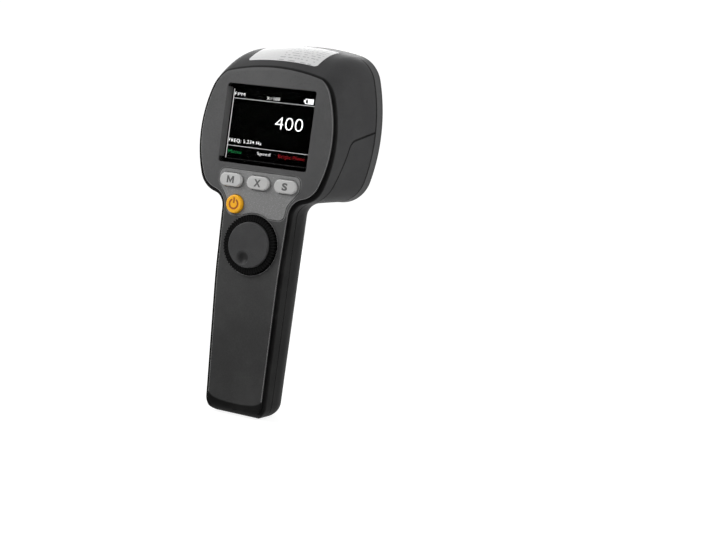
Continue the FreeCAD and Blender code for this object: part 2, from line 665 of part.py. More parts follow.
def front_housing():
    """Front shell: the rounded front of the grip and the two lobes up the sides of the head."""
    rebate = lip_room.common(in_front_of_seam(0.0).cut(in_front_of_seam(d.lip_height + d.lip_clearance)))
    body = shell.common(in_front_of_seam(d.seam_gap / 2)).cut(rebate)
    adds = [lug.common(lip_skin) for lug in lugs(False)]
    for z in screw_heights:
        boss = along_y(d.boss_diameter, 0, z, d.boss_meet_y, grip_front(z) + d.wall)
        adds.append(boss.common(lip_skin))
    body = body.fuse(adds)
    cuts = [socket_block(d.socket_play, BEHIND)] + screw_head_rooms(False)
    for z in screw_heights:
        seat = grip_front(z) - d.screw_sink
        cuts += [along_y(d.screw_hole, 0, z, seat, BEHIND),
                 along_y(d.screw_shank + 2 * d.screw_play, 0, z, d.boss_meet_y, BEHIND)]
    for k in range(round(d.slit_count)):
        z = d.slit_low + k * d.slit_pitch
        slit = placed(capsule(d.slit_length, d.slit_width, BEHIND), lamp_place(0, -BEHIND / 2, z))
        cuts.append(slit.cut(outer_grip_inset(d.slit_depth)))
    return body.cut(cuts)


def back_ledge():
    """What the outer form loses round the raised plate of its back."""
    plate = inner.copy()
    plate.translate(Vector(0, -d.wall - d.step_depth, 0))
    return outer.cut(ahead_of_back(d.step_depth)).cut(plate)


outer = outer_form(0.0, housing_end)
inner = outer_form(d.wall, bezel_back + 1)
shell = outer.cut(inner)
lip_skin = outer_form(d.lip_inset, bezel_back)
lip_room = outer_form(d.lip_inset - d.lip_clearance, bezel_back)


solid_node("rear_housing", rear_housing())
solid_node("front_housing", front_housing())


# --------------------------------------------------------------------------
# Lamp: bezel, lens plate, lenses, emitters, board and heat sink
# --------------------------------------------------------------------------
steps = range(round(d.lens_rows))
middle_step = (round(d.lens_rows) - 1) / 2
lens_places = {f"r{row + 1}c{column + 1}": ((column - middle_step) * d.lens_pitch,
                                            d.lens_height + (middle_step - row) * d.lens_pitch)
               for row in steps for column in steps}
post_places = [(x, d.lens_height + z) for x in (-d.lens_pitch / 2, d.lens_pitch / 2)
               for z in (-d.lens_pitch / 2, d.lens_pitch / 2)]


def lens_bezel():
    """Front ring of the head, with a ledge for the lens plate."""
    rear = head_outline(bezel_back, 0.0)
    front = crowned_outline(d.bezel_front, d.head_half_front + d.bezel_flare,
                            d.head_low_front - d.bezel_flare, d.head_wide_front,
                            d.head_top_front + d.bezel_rise)
    ring = Part.makeLoft([rear, front], True, True)
    ring = with_corners(ring, d.bezel_front, d.bezel_corner, d.bezel_corner)
    rim = [e for e in ring.Edges if e.BoundBox.YMin > d.bezel_front - d.bezel_round / 2]
    ring = ring.makeFillet(d.bezel_round, rim)
    inside = d.lamp_width - 2 * d.ledge
    cuts = [placed(rounded_block(d.lamp_width, d.lamp_width, BEHIND, d.lamp_corner),
                   lamp_place(0, plate_back, d.lens_height)),
            placed(rounded_block(inside, inside, BIG, d.lamp_corner - d.ledge),
                   lamp_place(0, -BIG / 2, d.lens_height))]
    for x, z in lug_places:
        cuts.append(along_y(d.bezel_screw + 2 * d.screw_play, x, z, bezel_back - d.lug_depth,
                            bezel_back + d.bezel_screw_bite + d.screw_play))
    return ring.cut(cuts)


def lens_plate():
    """Dark plate with a hole for each lens, and four posts between the lenses."""
    width = d.lamp_width - 2 * d.plate_clearance
    plate = placed(rounded_block(width, width, d.plate_thickness, d.lamp_corner - d.plate_clearance),
                   lamp_place(0, plate_back, d.lens_height))
    posts = [along_y(d.post_diameter, x, z, led_board_front, plate_back + d.plate_thickness / 2)
             for x, z in post_places]
    holes = [along_y(d.lens_diameter + 2 * d.lens_clearance, x, z, plate_back - d.wall, BIG / 2)
             for x, z in lens_places.values()]
    pilots = [along_y(d.small_shank + 2 * d.screw_play, x, z, led_board_front,
                      led_board_front + d.post_bite + d.screw_play) for x, z in post_places]
    return plate.cut(holes).fuse(posts).cut(pilots)


def lens():
    """One lens, its axis on z, front at z = 0: a straight rim, a cone, and a pocket for the emitter."""
    front, back, pocket = d.lens_diameter / 2, d.lens_back / 2, d.lens_pocket / 2
    floor = -d.lens_depth + d.emitter_height + 2 * d.lens_clearance
    points = [Vector(0, 0, 0), Vector(front, 0, 0), Vector(front, 0, -d.lens_rim),
              Vector(back, 0, -d.lens_depth), Vector(pocket, 0, -d.lens_depth),
              Vector(pocket, 0, floor), Vector(0, 0, floor)]
    section = Part.Face(Part.makePolygon(points + [points[0]]))
    return section.revolve(Vector(), Vector(0, 0, 1), 360)


def screw(head, head_height, shank, bite):
    """A screw along z: its seat is at z = 0, the head below it and the shank above."""
    stem = cylinder(shank, bite)
    top = placed(cylinder(head, head_height), Placement(Vector(0, 0, -head_height), Rotation()))
    length, width = SLOT_LENGTH * head, SLOT_WIDTH * head
    slot = Part.makeBox(length, width, head_height / 2, Vector(-length / 2, -width / 2, -head_height))
    return top.fuse(stem).cut(slot)


def many(label, shape, placements):
    """A sub-part of the same solid at several places."""
    return solid_node(label, Part.makeCompound([placed(shape, place) for place in placements]))


solid_node("lens_bezel", lens_bezel())
solid_node("lens_plate", lens_plate())
one_lens = lens()
for tag, (x, z) in lens_places.items():
    solid_node("lens_" + tag, one_lens, lamp_place(x, lens_front, z))
for tag, (x, z) in lens_places.items():
    corner = Placement(Vector(-d.emitter_size / 2, -d.emitter_size / 2, 0), Rotation())
    keep(primitive("Part::Box", "led_emitter_" + tag, lamp_place(x, led_board_front, z) * corner,
                   Length="sizes.emitter_size", Width="sizes.emitter_size", Height="sizes.emitter_height"),
         "led_emitter_" + tag)


def centred_slab(name, place, length, width, height):
    """A box from z = 0 of the placement up, centred on it. Sizes are expressions on the sheet."""
    box = primitive("Part::Box", name, Placement(), Length=length, Width=width, Height=height)
    box.recompute()
    box.Placement = place * Placement(Vector(-box.Length.Value / 2, -box.Width.Value / 2, 0), Rotation())
    return box


def rod(name, place, diameter, length):
    """A cylinder from z = 0 of the placement up. Diameter and length are expressions on the sheet."""
    return primitive("Part::Cylinder", name, place, Radius=f"({diameter}) / 2", Height=length)


def screw_rods(name, places, rear):
    """Rods that cut the board screws' holes through a board whose rear side is at rear."""
    return [rod(f"{name}_{k}", lamp_place(x, rear - d.wall, z),
                "sizes.small_shank + 2 * sizes.screw_play", "3 * sizes.wall")
            for k, (x, z) in enumerate(places)]


keep(cut("led_board",
         centred_slab("led_board_blank", lamp_place(0, led_board_back, d.lens_height),
                      "sizes.led_board_size", "sizes.led_board_size", "sizes.led_board_thickness"),
         screw_rods("led_board_hole", post_places, led_board_back)), "led_board")
keep(cut("thermal_pad",
         centred_slab("thermal_pad_blank", lamp_place(0, sink_front, d.lens_height),
                      "sizes.led_board_size", "sizes.sink_height", "sizes.pad_thickness"),
         screw_rods("thermal_pad_hole", post_places, sink_front)), "thermal_pad")

spacer_places = [(x * d.spacer_x, d.driver_height + z * d.spacer_z) for x in (-1, 1) for z in (-1, 1)]


def heat_sink():
    """Aluminium base with upright fins, cleared round the screw heads and the spacers."""
    left, low = -d.led_board_size / 2, d.lens_height - d.sink_height / 2
    base = Part.makeBox(d.led_board_size, d.sink_base, d.sink_height, Vector(left, sink_back, low))
    count = round(d.fin_count)
    pitch = (d.led_board_size - d.fin_thickness) / (count - 1)
    fins = [Part.makeBox(d.fin_thickness, d.fin_depth + d.sink_base / 2, d.sink_height,
                         Vector(left + k * pitch, sink_back - d.fin_depth, low)) for k in range(count)]
    room = 2 * d.fin_gap
    cuts = [along_y(d.small_head + room, x, z, -BIG / 2, sink_back) for x, z in post_places]
    cuts += [along_y(d.spacer_diameter + room, x, z, -BIG / 2, sink_back) for x, z in spacer_places]
    cuts += [along_y(d.small_shank + 2 * d.screw_play, x, z, -BIG / 2, BIG / 2)
             for x, z in post_places + spacer_places]
    return base.fuse(fins).cut(cuts)


solid_node("heat_sink", heat_sink())
many("led_board_screws", screw(d.small_head, d.small_head_height, d.small_shank,
                               led_board_front - sink_back + d.post_bite),
     [lamp_place(x, sink_back, z) for x, z in post_places])
many("bezel_screws", screw(d.small_head, d.small_head_height, d.bezel_screw,
                           d.lug_depth + d.bezel_screw_bite),
     [lamp_place(x, bezel_back - d.lug_depth, z) for x, z in lug_places])


# --------------------------------------------------------------------------
# Driver board behind the heat sink
# --------------------------------------------------------------------------
driver_front = d.driver_y + d.board_thickness
keep(cut("driver_board",
         centred_slab("driver_board_blank", lamp_place(0, d.driver_y, d.driver_height),
                      "sizes.driver_width", "sizes.driver_tall", "sizes.board_thickness"),
         screw_rods("driver_hole", spacer_places, d.driver_y)), "driver_board")
spacer = cylinder(d.spacer_diameter, sink_back - driver_front).cut(
    cylinder(d.small_shank + 2 * d.screw_play, d.spacer_bite + d.screw_play))
many("driver_spacers", spacer, [lamp_place(x, driver_front, z) for x, z in spacer_places])
many("driver_screws", screw(d.small_head, d.small_head_height, d.small_shank,
                            d.board_thickness + d.spacer_bite),
     [lamp_place(x, d.driver_y, z) for x, z in spacer_places])


def driver_parts():
    """Inductor, two capacitors and three transistors on the driver board."""
    room = sink_back - d.fin_depth - driver_front - d.part_gap
    inductor = rounded_block(d.inductor_size, d.inductor_size, min(d.inductor_height, room), d.wall / 2)
    solids = [placed(inductor, lamp_place(0, driver_front, d.driver_height + d.part_spread))]
    for side in (-1, 1):
        can = placed(cylinder(d.can_diameter, d.can_length),
                     Placement(Vector(side * d.part_spread, driver_front + d.can_diameter / 2,
                                      d.driver_height - d.can_length / 2), Rotation()))
        solids.append(can)
    for side in (-1, 0, 1):
        solids.append(placed(Part.makeBox(d.chip_size, d.chip_size, d.chip_height),
                             lamp_place(side * d.chip_size * 1.5 - d.chip_size / 2, driver_front,
                                        d.driver_height - d.part_spread + d.chip_size / 2)))
    return Part.makeCompound(solids)


solid_node("driver_parts", driver_parts())


# --------------------------------------------------------------------------
# Display: window, LCD module, frame and main board, all square to the face
# --------------------------------------------------------------------------
keep(centred_slab("display_window", face_place(out=-window_back),
                  "sizes.window_width + 2 * sizes.window_margin", "sizes.window_tall + 2 * sizes.window_margin",
                  "sizes.window_thickness"), "display_window")
keep(centred_slab("display_panel", face_place(out=-panel_back),
                  "sizes.panel_width", "sizes.panel_tall", "sizes.panel_thickness"), "display_panel")
keep(centred_slab("display_frame", face_place(out=-frame_back),
                  "sizes.panel_width", "sizes.panel_tall", "sizes.frame_thickness"), "display_frame")


def main_board():
    """T-shaped board: behind the display, with a tab above it and a neck down into the grip."""
    def piece(width, low, high):
        return Part.makeBox(width, high - low, d.board_thickness, Vector(-width / 2, low, 0))

    tab_top = board_screw_up + d.small_head / 2 + d.board_edge
    arms = [piece(d.board_tab_width, 0, tab_top), piece(d.board_neck_width, -d.board_low, 0)]
    board = piece(d.board_width, -d.board_shoulder, d.board_head).fuse(arms).removeSplitter()
    board = placed(board, face_place(out=-board_depth - d.board_thickness))
    hole = cylinder(d.small_shank + 2 * d.screw_play, BEHIND)
    cuts = [placed(hole, face_place(x, up, -BEHIND / 2 - board_depth)) for x, up in main_board_screws]
    cuts.append(along_y(d.boss_diameter + 2 * d.board_boss_gap, 0, d.screw_high, -BEHIND, BEHIND))
    return board.cut(cuts)


solid_node("main_board", main_board())
many("main_board_screws", screw(d.small_head, d.small_head_height, d.small_shank,
                                d.board_thickness + board_depth - blind_floor - d.small_head_height),
     [face_place(x, up, -board_depth - d.board_thickness) for x, up in main_board_screws])


def main_board_parts():
    """Processor, memory, crystal and two connectors on the inner side of the main board."""
    floor = -board_depth - d.board_thickness
    solids = []
    for across, up, wide, tall in BOARD_PARTS:
        block = Part.makeBox(wide * d.chip_size, tall * d.chip_size, d.chip_height,
                             Vector(-wide * d.chip_size / 2, -tall * d.chip_size / 2, -d.chip_height))
        solids.append(placed(block, face_place(across * d.chip_size, up * d.chip_size, floor)))
    return Part.makeCompound(solids)


solid_node("main_board_parts", main_board_parts())


# --------------------------------------------------------------------------
# Keys, their switches and the inlaid pad
# --------------------------------------------------------------------------
keypad = keypad_block(0, d.pad_depth).cut(
    key_holes(d.key_length + 2 * d.key_clearance, d.key_width + 2 * d.key_clearance,
              d.power_diameter + 2 * d.key_clearance, -BEHIND, BEHIND))
solid_node("keypad_panel", keypad, face_place(out=d.pad_proud - d.pad_depth))

key_back = d.wall + d.key_clearance + d.key_flange
key_top = d.pad_proud + d.key_rise


def softened(block, radius):
    """The block with the edges of its top rounded."""
    top = block.BoundBox.ZMax - TOUCH
    return block.makeFillet(radius, [e for e in block.Edges if e.BoundBox.ZMin > top])


def key(cap, flange):
    """A key: its cap through the face, and the flange that keeps it in."""
    return softened(cap, d.key_round).fuse(flange)


flange_rim = 4 * d.key_clearance
capsule_key = key(capsule(d.key_length, d.key_width, key_back + key_top),
                  capsule(d.key_length + flange_rim, d.key_width + flange_rim, d.key_flange))
for label, (x, y) in key_places.items():
    solid_node(label, capsule_key, face_place(x, y, -key_back))
round_key = key(cylinder(d.power_diameter, key_back + key_top),
                cylinder(d.power_diameter + flange_rim, d.key_flange))
solid_node("power_key", round_key, face_place(*power_place, -key_back))

switch_height = board_depth - key_back - d.key_travel - d.switch_gap
switch = Part.makeBox(d.switch_size, d.switch_size, SWITCH_BODY * switch_height,
                      Vector(-d.switch_size / 2, -d.switch_size / 2, 0))
switch = switch.fuse(cylinder(d.switch_size / 2, switch_height))
many("push_switches", switch,
     [face_place(x, y, -board_depth) for x, y in [*key_places.values(), power_place]])


# --------------------------------------------------------------------------
# Dial: knurled wheel, cap, shaft and encoder
# --------------------------------------------------------------------------
wheel_back = d.dial_clearance - d.well_depth
web_top = wheel_back + d.web_thickness
shaft_back = d.encoder_floor - board_depth
dial_body = doc.addObject("PartDesign::Body", "dial_wheel")


def sketch_in(body, name, circles):
    """A sketch in the body's XY plane, of circles about the origin with diameters by expression."""
    sketch = body.newObject("Sketcher::SketchObject", name)
    plane = next(f for f in body.Origin.OriginFeatures if f.Role == "XY_Plane")
    sketch.AttachmentSupport = (plane, [""])
    sketch.MapMode = "FlatFace"
    for diameter in circles:
        radius = 1 + sketch.GeometryCount       # a start only: the expression sets the size
        circle = sketch.addGeometry(Part.Circle(Vector(), Vector(0, 0, 1), radius), False)
        sketch.addConstraint(Sketcher.Constraint("Coincident", circle, 3, -1, 1))
        held = sketch.addConstraint(Sketcher.Constraint("Diameter", circle, 2 * radius))
        sketch.setExpression(f"Constraints[{held}]", diameter)
    return sketch


def padded(body, name, sketch, length):
    """A pad of the sketch, its length an expression."""
    pad = body.newObject("PartDesign::Pad", name)
    pad.Profile = sketch
    pad.setExpression("Length", length)
    return pad


rim_circles = ["sizes.dial_diameter", "sizes.dial_diameter - 2 * sizes.dial_rim"]
web_circles = ["sizes.dial_diameter - 1.5 * sizes.dial_rim", "sizes.shaft_diameter"]
padded(dial_body, "dial_rim", sketch_in(dial_body, "rim_sketch", rim_circles),
       "sizes.dial_rise + sizes.well_depth - sizes.dial_clearance")
padded(dial_body, "dial_web", sketch_in(dial_body, "web_sketch", web_circles), "sizes.web_thickness")
flute_sketch = sketch_in(dial_body, "flute_sketch", [])
flute_circle = Part.Circle(Vector(d.dial_diameter / 2, 0, 0), Vector(0, 0, 1), d.knurl_radius)
flute = flute_sketch.addGeometry(flute_circle, False)
flute_sketch.addConstraint(Sketcher.Constraint("PointOnObject", flute, 3, -1))
flute_sketch.addConstraint(Sketcher.Constraint("DistanceX", -1, 1, flute, 3, d.dial_diameter / 2))
flute_sketch.setExpression("Constraints[1]", "sizes.dial_diameter / 2")
flute_sketch.addConstraint(Sketcher.Constraint("Radius", flute, d.knurl_radius))
flute_sketch.setExpression("Constraints[2]", "sizes.knurl_radius")
pocket = dial_body.newObject("PartDesign::Pocket", "dial_flute")
pocket.Profile = flute_sketch
pocket.Type = "ThroughAll"
pocket.Reversed = True
doc.recompute()
knurl = dial_body.newObject("PartDesign::PolarPattern", "dial_knurl")
knurl.Originals = [pocket]
knurl.Axis = (flute_sketch, ["N_Axis"])
knurl.Angle = 360
knurl.setExpression("Occurrences", "sizes.knurl_count")
dial_body.Tip = knurl
doc.recompute()
dial_body.Placement = face_place(up=-d.dial_row, out=wheel_back)
keep(dial_body, "dial_wheel")

cap = softened(cylinder(d.cap_diameter, d.cap_rise - web_top), d.cap_round)
ball = (d.dimple_diameter ** 2 / 4 + d.dimple_depth ** 2) / (2 * d.dimple_depth)
aim = math.radians(d.dimple_angle)
cap = cap.cut(Part.makeSphere(ball, Vector(d.dimple_reach * math.cos(aim),
                                           d.dimple_reach * math.sin(aim),
                                           d.cap_rise - web_top + ball - d.dimple_depth)))
solid_node("dial_cap", cap, face_place(up=-d.dial_row, out=web_top))
display_stack = " + ".join("sizes." + part for part in (
    "window_recess", "window_thickness", "panel_thickness", "frame_thickness", "board_gap"))
keep(rod("dial_shaft", face_place(up=-d.dial_row, out=shaft_back), "sizes.shaft_diameter",
         "sizes.web_thickness + sizes.dial_clearance - sizes.well_depth - sizes.encoder_floor + "
         + display_stack), "dial_shaft")
encoder = Part.makeBox(d.encoder_size, d.encoder_size, board_depth - d.wall - d.dial_clearance,
                       Vector(-d.encoder_size / 2, -d.encoder_size / 2, 0))
bore = placed(cylinder(d.shaft_diameter + 2 * d.shaft_clearance, BEHIND),
              Placement(Vector(0, 0, d.encoder_floor - d.shaft_clearance), Rotation()))
solid_node("encoder_body", encoder.cut(bore), face_place(up=-d.dial_row, out=-board_depth))


# --------------------------------------------------------------------------
# Grip: cell, cradle, charging socket and housing screws
# --------------------------------------------------------------------------
keep(rod("battery_cell", Placement(Vector(0, d.cell_y, d.cell_low), Rotation()),
         "sizes.cell_diameter", "sizes.cell_length"), "battery_cell")


def battery_cradle():
    """Half tray behind the cell, closed at both ends."""
    room = d.cell_diameter / 2 + d.cell_clearance
    half, ends = room + d.cradle_wall, d.cell_clearance + d.cradle_wall
    rear = max(back_y(d.cell_low), back_y(d.cell_low + d.cell_length)) + d.wall + d.key_clearance
    block = Part.makeBox(2 * half, d.cell_y - rear, d.cell_length + 2 * ends,
                         Vector(-half, rear, d.cell_low - ends))
    return block.cut(placed(cylinder(2 * room, d.cell_length + 2 * d.cell_clearance),
                            Placement(Vector(0, d.cell_y, d.cell_low - d.cell_clearance), Rotation())))


solid_node("battery_cradle", battery_cradle())


def usb_socket():
    """Charging socket: a metal sleeve with a tongue inside."""
    sleeve = SLEEVE * d.socket_width
    body = socket_block(0, 0)
    hollow = capsule(d.socket_length - 2 * sleeve, d.socket_width - 2 * sleeve, BEHIND)
    length, width = TONGUE[0] * d.socket_length, TONGUE[1] * d.socket_width
    tongue = Part.makeBox(length, width, TONGUE[2] * d.socket_depth, Vector(-length / 2, -width / 2, 0))
    lifted = socket_place(0) * Placement(Vector(0, 0, SOCKET_FLOOR * d.socket_depth), Rotation())
    return body.cut(placed(hollow, lifted)).fuse(placed(tongue, socket_place(0)))


solid_node("usb_socket", usb_socket())
many("housing_screws", screw(d.screw_head, d.screw_head_height, d.screw_shank, d.screw_bite),
     [Placement(Vector(0, grip_front(z) - d.screw_sink, z), Rotation(Vector(1, 0, 0), 90))
      for z in screw_heights])


def rating_label():
    """Thin blank label laid on the sloping top of the head."""
    skin = head_form(-d.label_thickness, housing_end).cut(head_form(0.0, housing_end))
    slope = math.atan2(d.head_top_front - d.head_top_rear, bezel_back - display_y)
    top = between(d.head_top_rear, d.head_top_front, display_y, bezel_back, d.label_y)
    sheet_block = rounded_block(d.label_width, d.label_length, BEHIND, d.label_corner)
    place = Placement(Vector(0, d.label_y, top), Rotation(Vector(1, 0, 0), math.degrees(slope)))
    return skin.common(placed(sheet_block, place * Placement(Vector(0, 0, -BEHIND / 2), Rotation())))


solid_node("rating_label", rating_label())


# --------------------------------------------------------------------------
# Check and write every sub-part
# --------------------------------------------------------------------------
doc.recompute()
failed = [o.Name for o in doc.Objects if "Invalid" in o.State or "Error" in o.State]
failed += [o.Label for o in nodes if o.Shape.isNull() or not o.Shape.isValid() or not o.Shape.Solids]
if failed:
    raise RuntimeError("these did not build: " + ", ".join(failed))
os.makedirs("parts", exist_ok=True)
for thing in nodes:
    thing.Shape.exportStep(os.path.join("parts", thing.Label + ".step"))
print(f"{len(nodes)} sub-parts written")
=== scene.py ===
"""Looks of a hand-held LED stroboscope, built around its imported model.

Metres. +Z runs up the grip, +Y is the way the lamp shines, and the display face looks to -Y.
"""
import logging
import math
from dataclasses import dataclass
from enum import Enum
from functools import reduce
from typing import Any, ClassVar, Optional, Sequence, Union

import bmesh
import bpy
import numpy as np
from mathutils import Matrix, Vector


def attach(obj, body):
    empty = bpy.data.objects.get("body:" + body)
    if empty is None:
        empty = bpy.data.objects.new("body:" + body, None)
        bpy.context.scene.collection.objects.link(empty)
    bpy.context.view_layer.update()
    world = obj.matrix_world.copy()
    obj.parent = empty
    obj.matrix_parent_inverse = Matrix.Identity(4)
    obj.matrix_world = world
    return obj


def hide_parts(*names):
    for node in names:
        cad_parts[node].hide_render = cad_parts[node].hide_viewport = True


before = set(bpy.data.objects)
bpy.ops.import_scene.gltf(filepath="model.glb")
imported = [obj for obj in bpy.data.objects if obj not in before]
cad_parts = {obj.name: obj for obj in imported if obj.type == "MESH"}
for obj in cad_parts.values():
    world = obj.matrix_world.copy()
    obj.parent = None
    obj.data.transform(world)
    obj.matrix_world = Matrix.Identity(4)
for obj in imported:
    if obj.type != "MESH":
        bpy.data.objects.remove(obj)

logging.basicConfig(level=logging.INFO, format="%(message)s")
log = logging.getLogger("stroboscope")

Pair = tuple[float, float]
Place = tuple[float, float, float]
Colour = tuple[float, float, float]
Socket = bpy.types.NodeSocket
Input = Union[float, Colour, Socket]
Material = bpy.types.Material
Thing = bpy.types.Object

MM = 0.001
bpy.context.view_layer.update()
MIX_FIRST, MIX_SECOND, MIX_RESULT = 6, 7, 2     # a Mix node's sockets for colours
SHARP_ANGLE = math.radians(35)                  # faces that turn more than this shade apart
PRINT = 0.03                # thickness of print and of lit elements, in millimetres
CAPITAL_SHARE = 0.73        # height of a capital letter over the font's size
SMALL_LETTER = 3.0          # lettering below this height, in millimetres, is set wider apart
SMALL_SPACING = 1.12        # how far apart
LETTER_STEPS = 4            # parts that a letter's curve is cut into
WELD = 1e-5                 # corners of letters that are nearer than this are joined
CURVE_STEPS = 9             # points along a short curve
ARC_STEPS = 40              # points along a long one


def grey(level: float) -> Colour:
    """A neutral colour."""
    return (level, level, level)


class Body(Enum):
    """The bodies that pieces ride on."""

    HOUSING = "housing"
    MODE_KEY = "mode_key"
    MULTIPLIER_KEY = "multiplier_key"
    SHIFT_KEY = "shift_key"
    POWER_KEY = "power_key"


# ---- Shader nodes ----
class Tree:
    """A node tree with short calls for adding and joining nodes."""

    def __init__(self, tree: bpy.types.NodeTree) -> None:
        """Wraps the tree of a material, a world or a node group."""
        self.tree = tree

    def feed(self, socket: Socket, value: Input) -> None:
        """Sets a socket.

        Args:
            socket: The input to set.
            value: A number, a colour or another node's output.
        """
        if isinstance(value, Socket):
            self.tree.links.new(value, socket)
        else:
            socket.default_value = (*value, 1.0) if socket.type == "RGBA" else value

    def add(self, kind: str, *first: Input, **named: Any) -> bpy.types.Node:
        """Adds a node.

        Args:
            kind: Its type, without the ShaderNode prefix.
            *first: What its first inputs get, in order.
            **named: Properties in lower case, and inputs by name with underscores for spaces.

        Returns:
            The new node.
        """
        node = self.tree.nodes.new("ShaderNode" + kind)
        for name, value in named.items():
            if name.islower():
                setattr(node, name, value)
            else:
                self.feed(node.inputs[name.replace("_", " ")], value)
        for socket, value in zip(node.inputs, first):
            self.feed(socket, value)
        return node

    def math(self, operation: str, *values: Input) -> Socket:
        """The value of a Math node."""
        return self.add("Math", *values, operation=operation).outputs[0]

    def times(self, *factors: Input) -> Socket:
        """The product of two or more values."""
        return reduce(lambda product, factor: self.math("MULTIPLY", product, factor), factors)

    def minus(self, first: Input, second: Input) -> Socket:
        """The first value less the second."""
        return self.math("SUBTRACT", first, second)

    def apart(self, first: Input, second: Input) -> Socket:
        """How far two values are apart."""
        return self.math("ABSOLUTE", self.minus(first, second))

    def reach(self, across: Input, up: Input) -> Socket:
        """Length of a vector with the two given parts."""
        vector = self.add("CombineXYZ", across, up).outputs[0]
        return self.add("VectorMath", vector, operation="LENGTH").outputs["Value"]

    def span(self, value: Input, low: float, high: float, to_low: float = 0.0,
             to_high: float = 1.0) -> Socket:
        """Maps the range from low to high smoothly to the one from to_low to to_high."""
        return self.add("MapRange", value, low, high, to_low, to_high,
                        interpolation_type="SMOOTHSTEP").outputs[0]

    def noise(self, place: Socket, scale: Input, **named: float) -> Socket:
        """Noise from 0 to 1 at a scale; the node's other inputs go by name."""
        return self.add("TexNoise", Vector=place, Scale=scale, **named).outputs["Fac"]

    def scaled(self, colour: Input, factor: Input) -> Socket:
        """A colour times a number."""
        return self.add("VectorMath", colour, operation="SCALE", Scale=factor).outputs[0]

    def mix(self, amount: Input, first: Input, second: Input) -> Socket:
        """Mixes two colours.

        Args:
            amount: Share of the second, from 0 to 1.
            first: First colour.
            second: Second colour.

        Returns:
            The mixed colour.
        """
        node = self.add("Mix", amount, data_type="RGBA")
        self.feed(node.inputs[MIX_FIRST], first)
        self.feed(node.inputs[MIX_SECOND], second)
        return node.outputs[MIX_RESULT]

    def place(self) -> Socket:
        """The place on the object."""
        return self.add("TexCoord").outputs["Object"]

    def axes(self) -> Sequence[Socket]:
        """The place's three coordinates."""
        return self.add("SeparateXYZ", self.place()).outputs

    def offsets(self, centre: Pair) -> tuple[Socket, Socket]:
        """How far the place is from a point, across and up."""
        x, _, z = self.axes()
        return self.minus(x, centre[0]), self.minus(z, centre[1])

    def seen(self) -> Socket:
        """1 for rays from the camera, off gloss and through glass, and 0 for the others.

        Returns:
            The share.
        """
        path = self.add("LightPath").outputs
        return self.math("MAXIMUM", path["Is Camera Ray"],
                         self.math("MAXIMUM", path["Is Glossy Ray"], path["Is Transmission Ray"]))


class Effect(Tree):
    """A node group that several materials share. Its inputs and outputs are numbers."""

    def __init__(self, name: str, inputs: dict[str, float], outputs: Sequence[str]) -> None:
        """Opens the group.

        Args:
            name: Its name.
            inputs: Name and default of each input.
            outputs: Name of each output.
        """
        super().__init__(bpy.data.node_groups.new(name, "ShaderNodeTree"))
        sockets = self.tree.interface
        for label, default in inputs.items():
            sockets.new_socket(label, in_out="INPUT", socket_type="NodeSocketFloat").default_value = default
        for label in outputs:
            sockets.new_socket(label, in_out="OUTPUT", socket_type="NodeSocketFloat")
        self.given = self.tree.nodes.new("NodeGroupInput").outputs
        self.out = self.tree.nodes.new("NodeGroupOutput").inputs


class Effects:
    """The shared effects, each built once."""

    def __init__(self) -> None:
        """Builds them."""
        self.grain, self.brushed, self.film = self._grain(), self._brushed(), self._film()

    @staticmethod
    def _grain() -> bpy.types.NodeTree:
        """Spark-eroded grain of a mould: noise at two scales, as height and as a shade mask.

        Returns:
            The group.
        """
        effect = Effect("mould_grain", {"Size": 0.0005}, ("Height", "Mask"))
        place = effect.place()
        scale = effect.math("DIVIDE", 1.0, effect.given["Size"])
        fine = effect.noise(place, scale, Detail=2.0, Roughness=0.6)
        coarse = effect.noise(place, effect.times(scale, 0.02), Detail=3.0)
        blend = effect.math("MULTIPLY_ADD", coarse, 0.65, effect.times(fine, 0.35))
        effect.feed(effect.out["Height"], fine)
        effect.feed(effect.out["Mask"], effect.span(blend, 0.3, 0.7))
        return effect.tree

    @staticmethod
    def _brushed() -> bpy.types.NodeTree:
        """Fine lines along one axis, as on drawn or brushed metal.

        Returns:
            The group.
        """
        effect = Effect("brushed_lines", {"Fineness": 6000.0, "Stretch": 0.03}, ("Height", "Mask"))
        squash = effect.add("CombineXYZ", 1.0, 1.0, effect.given["Stretch"]).outputs[0]
        along = effect.add("VectorMath", effect.place(), squash, operation="MULTIPLY").outputs[0]
        lines = effect.noise(along, effect.given["Fineness"], Detail=2.0)
        effect.feed(effect.out["Height"], lines)
        effect.feed(effect.out["Mask"], effect.span(lines, 0.25, 0.75))
        return effect.tree

    @staticmethod
    def _film() -> bpy.types.NodeTree:
        """Faint cloudy film with specks, for handled surfaces.

        Returns:
            The group.
        """
        effect = Effect("handling_film", {"Amount": 0.3}, ("Film",))
        place = effect.place()
        cloud = effect.span(effect.noise(place, 38.0, Detail=5.0, Roughness=0.62), 0.42, 0.72)
        cells = effect.add("TexVoronoi", Vector=place, Scale=900.0).outputs["Distance"]
        film = effect.math("ADD", cloud, effect.times(effect.span(cells, 0.12, 0.04), 0.5))
        effect.feed(effect.out["Film"], effect.times(film, effect.given["Amount"]))
        return effect.tree


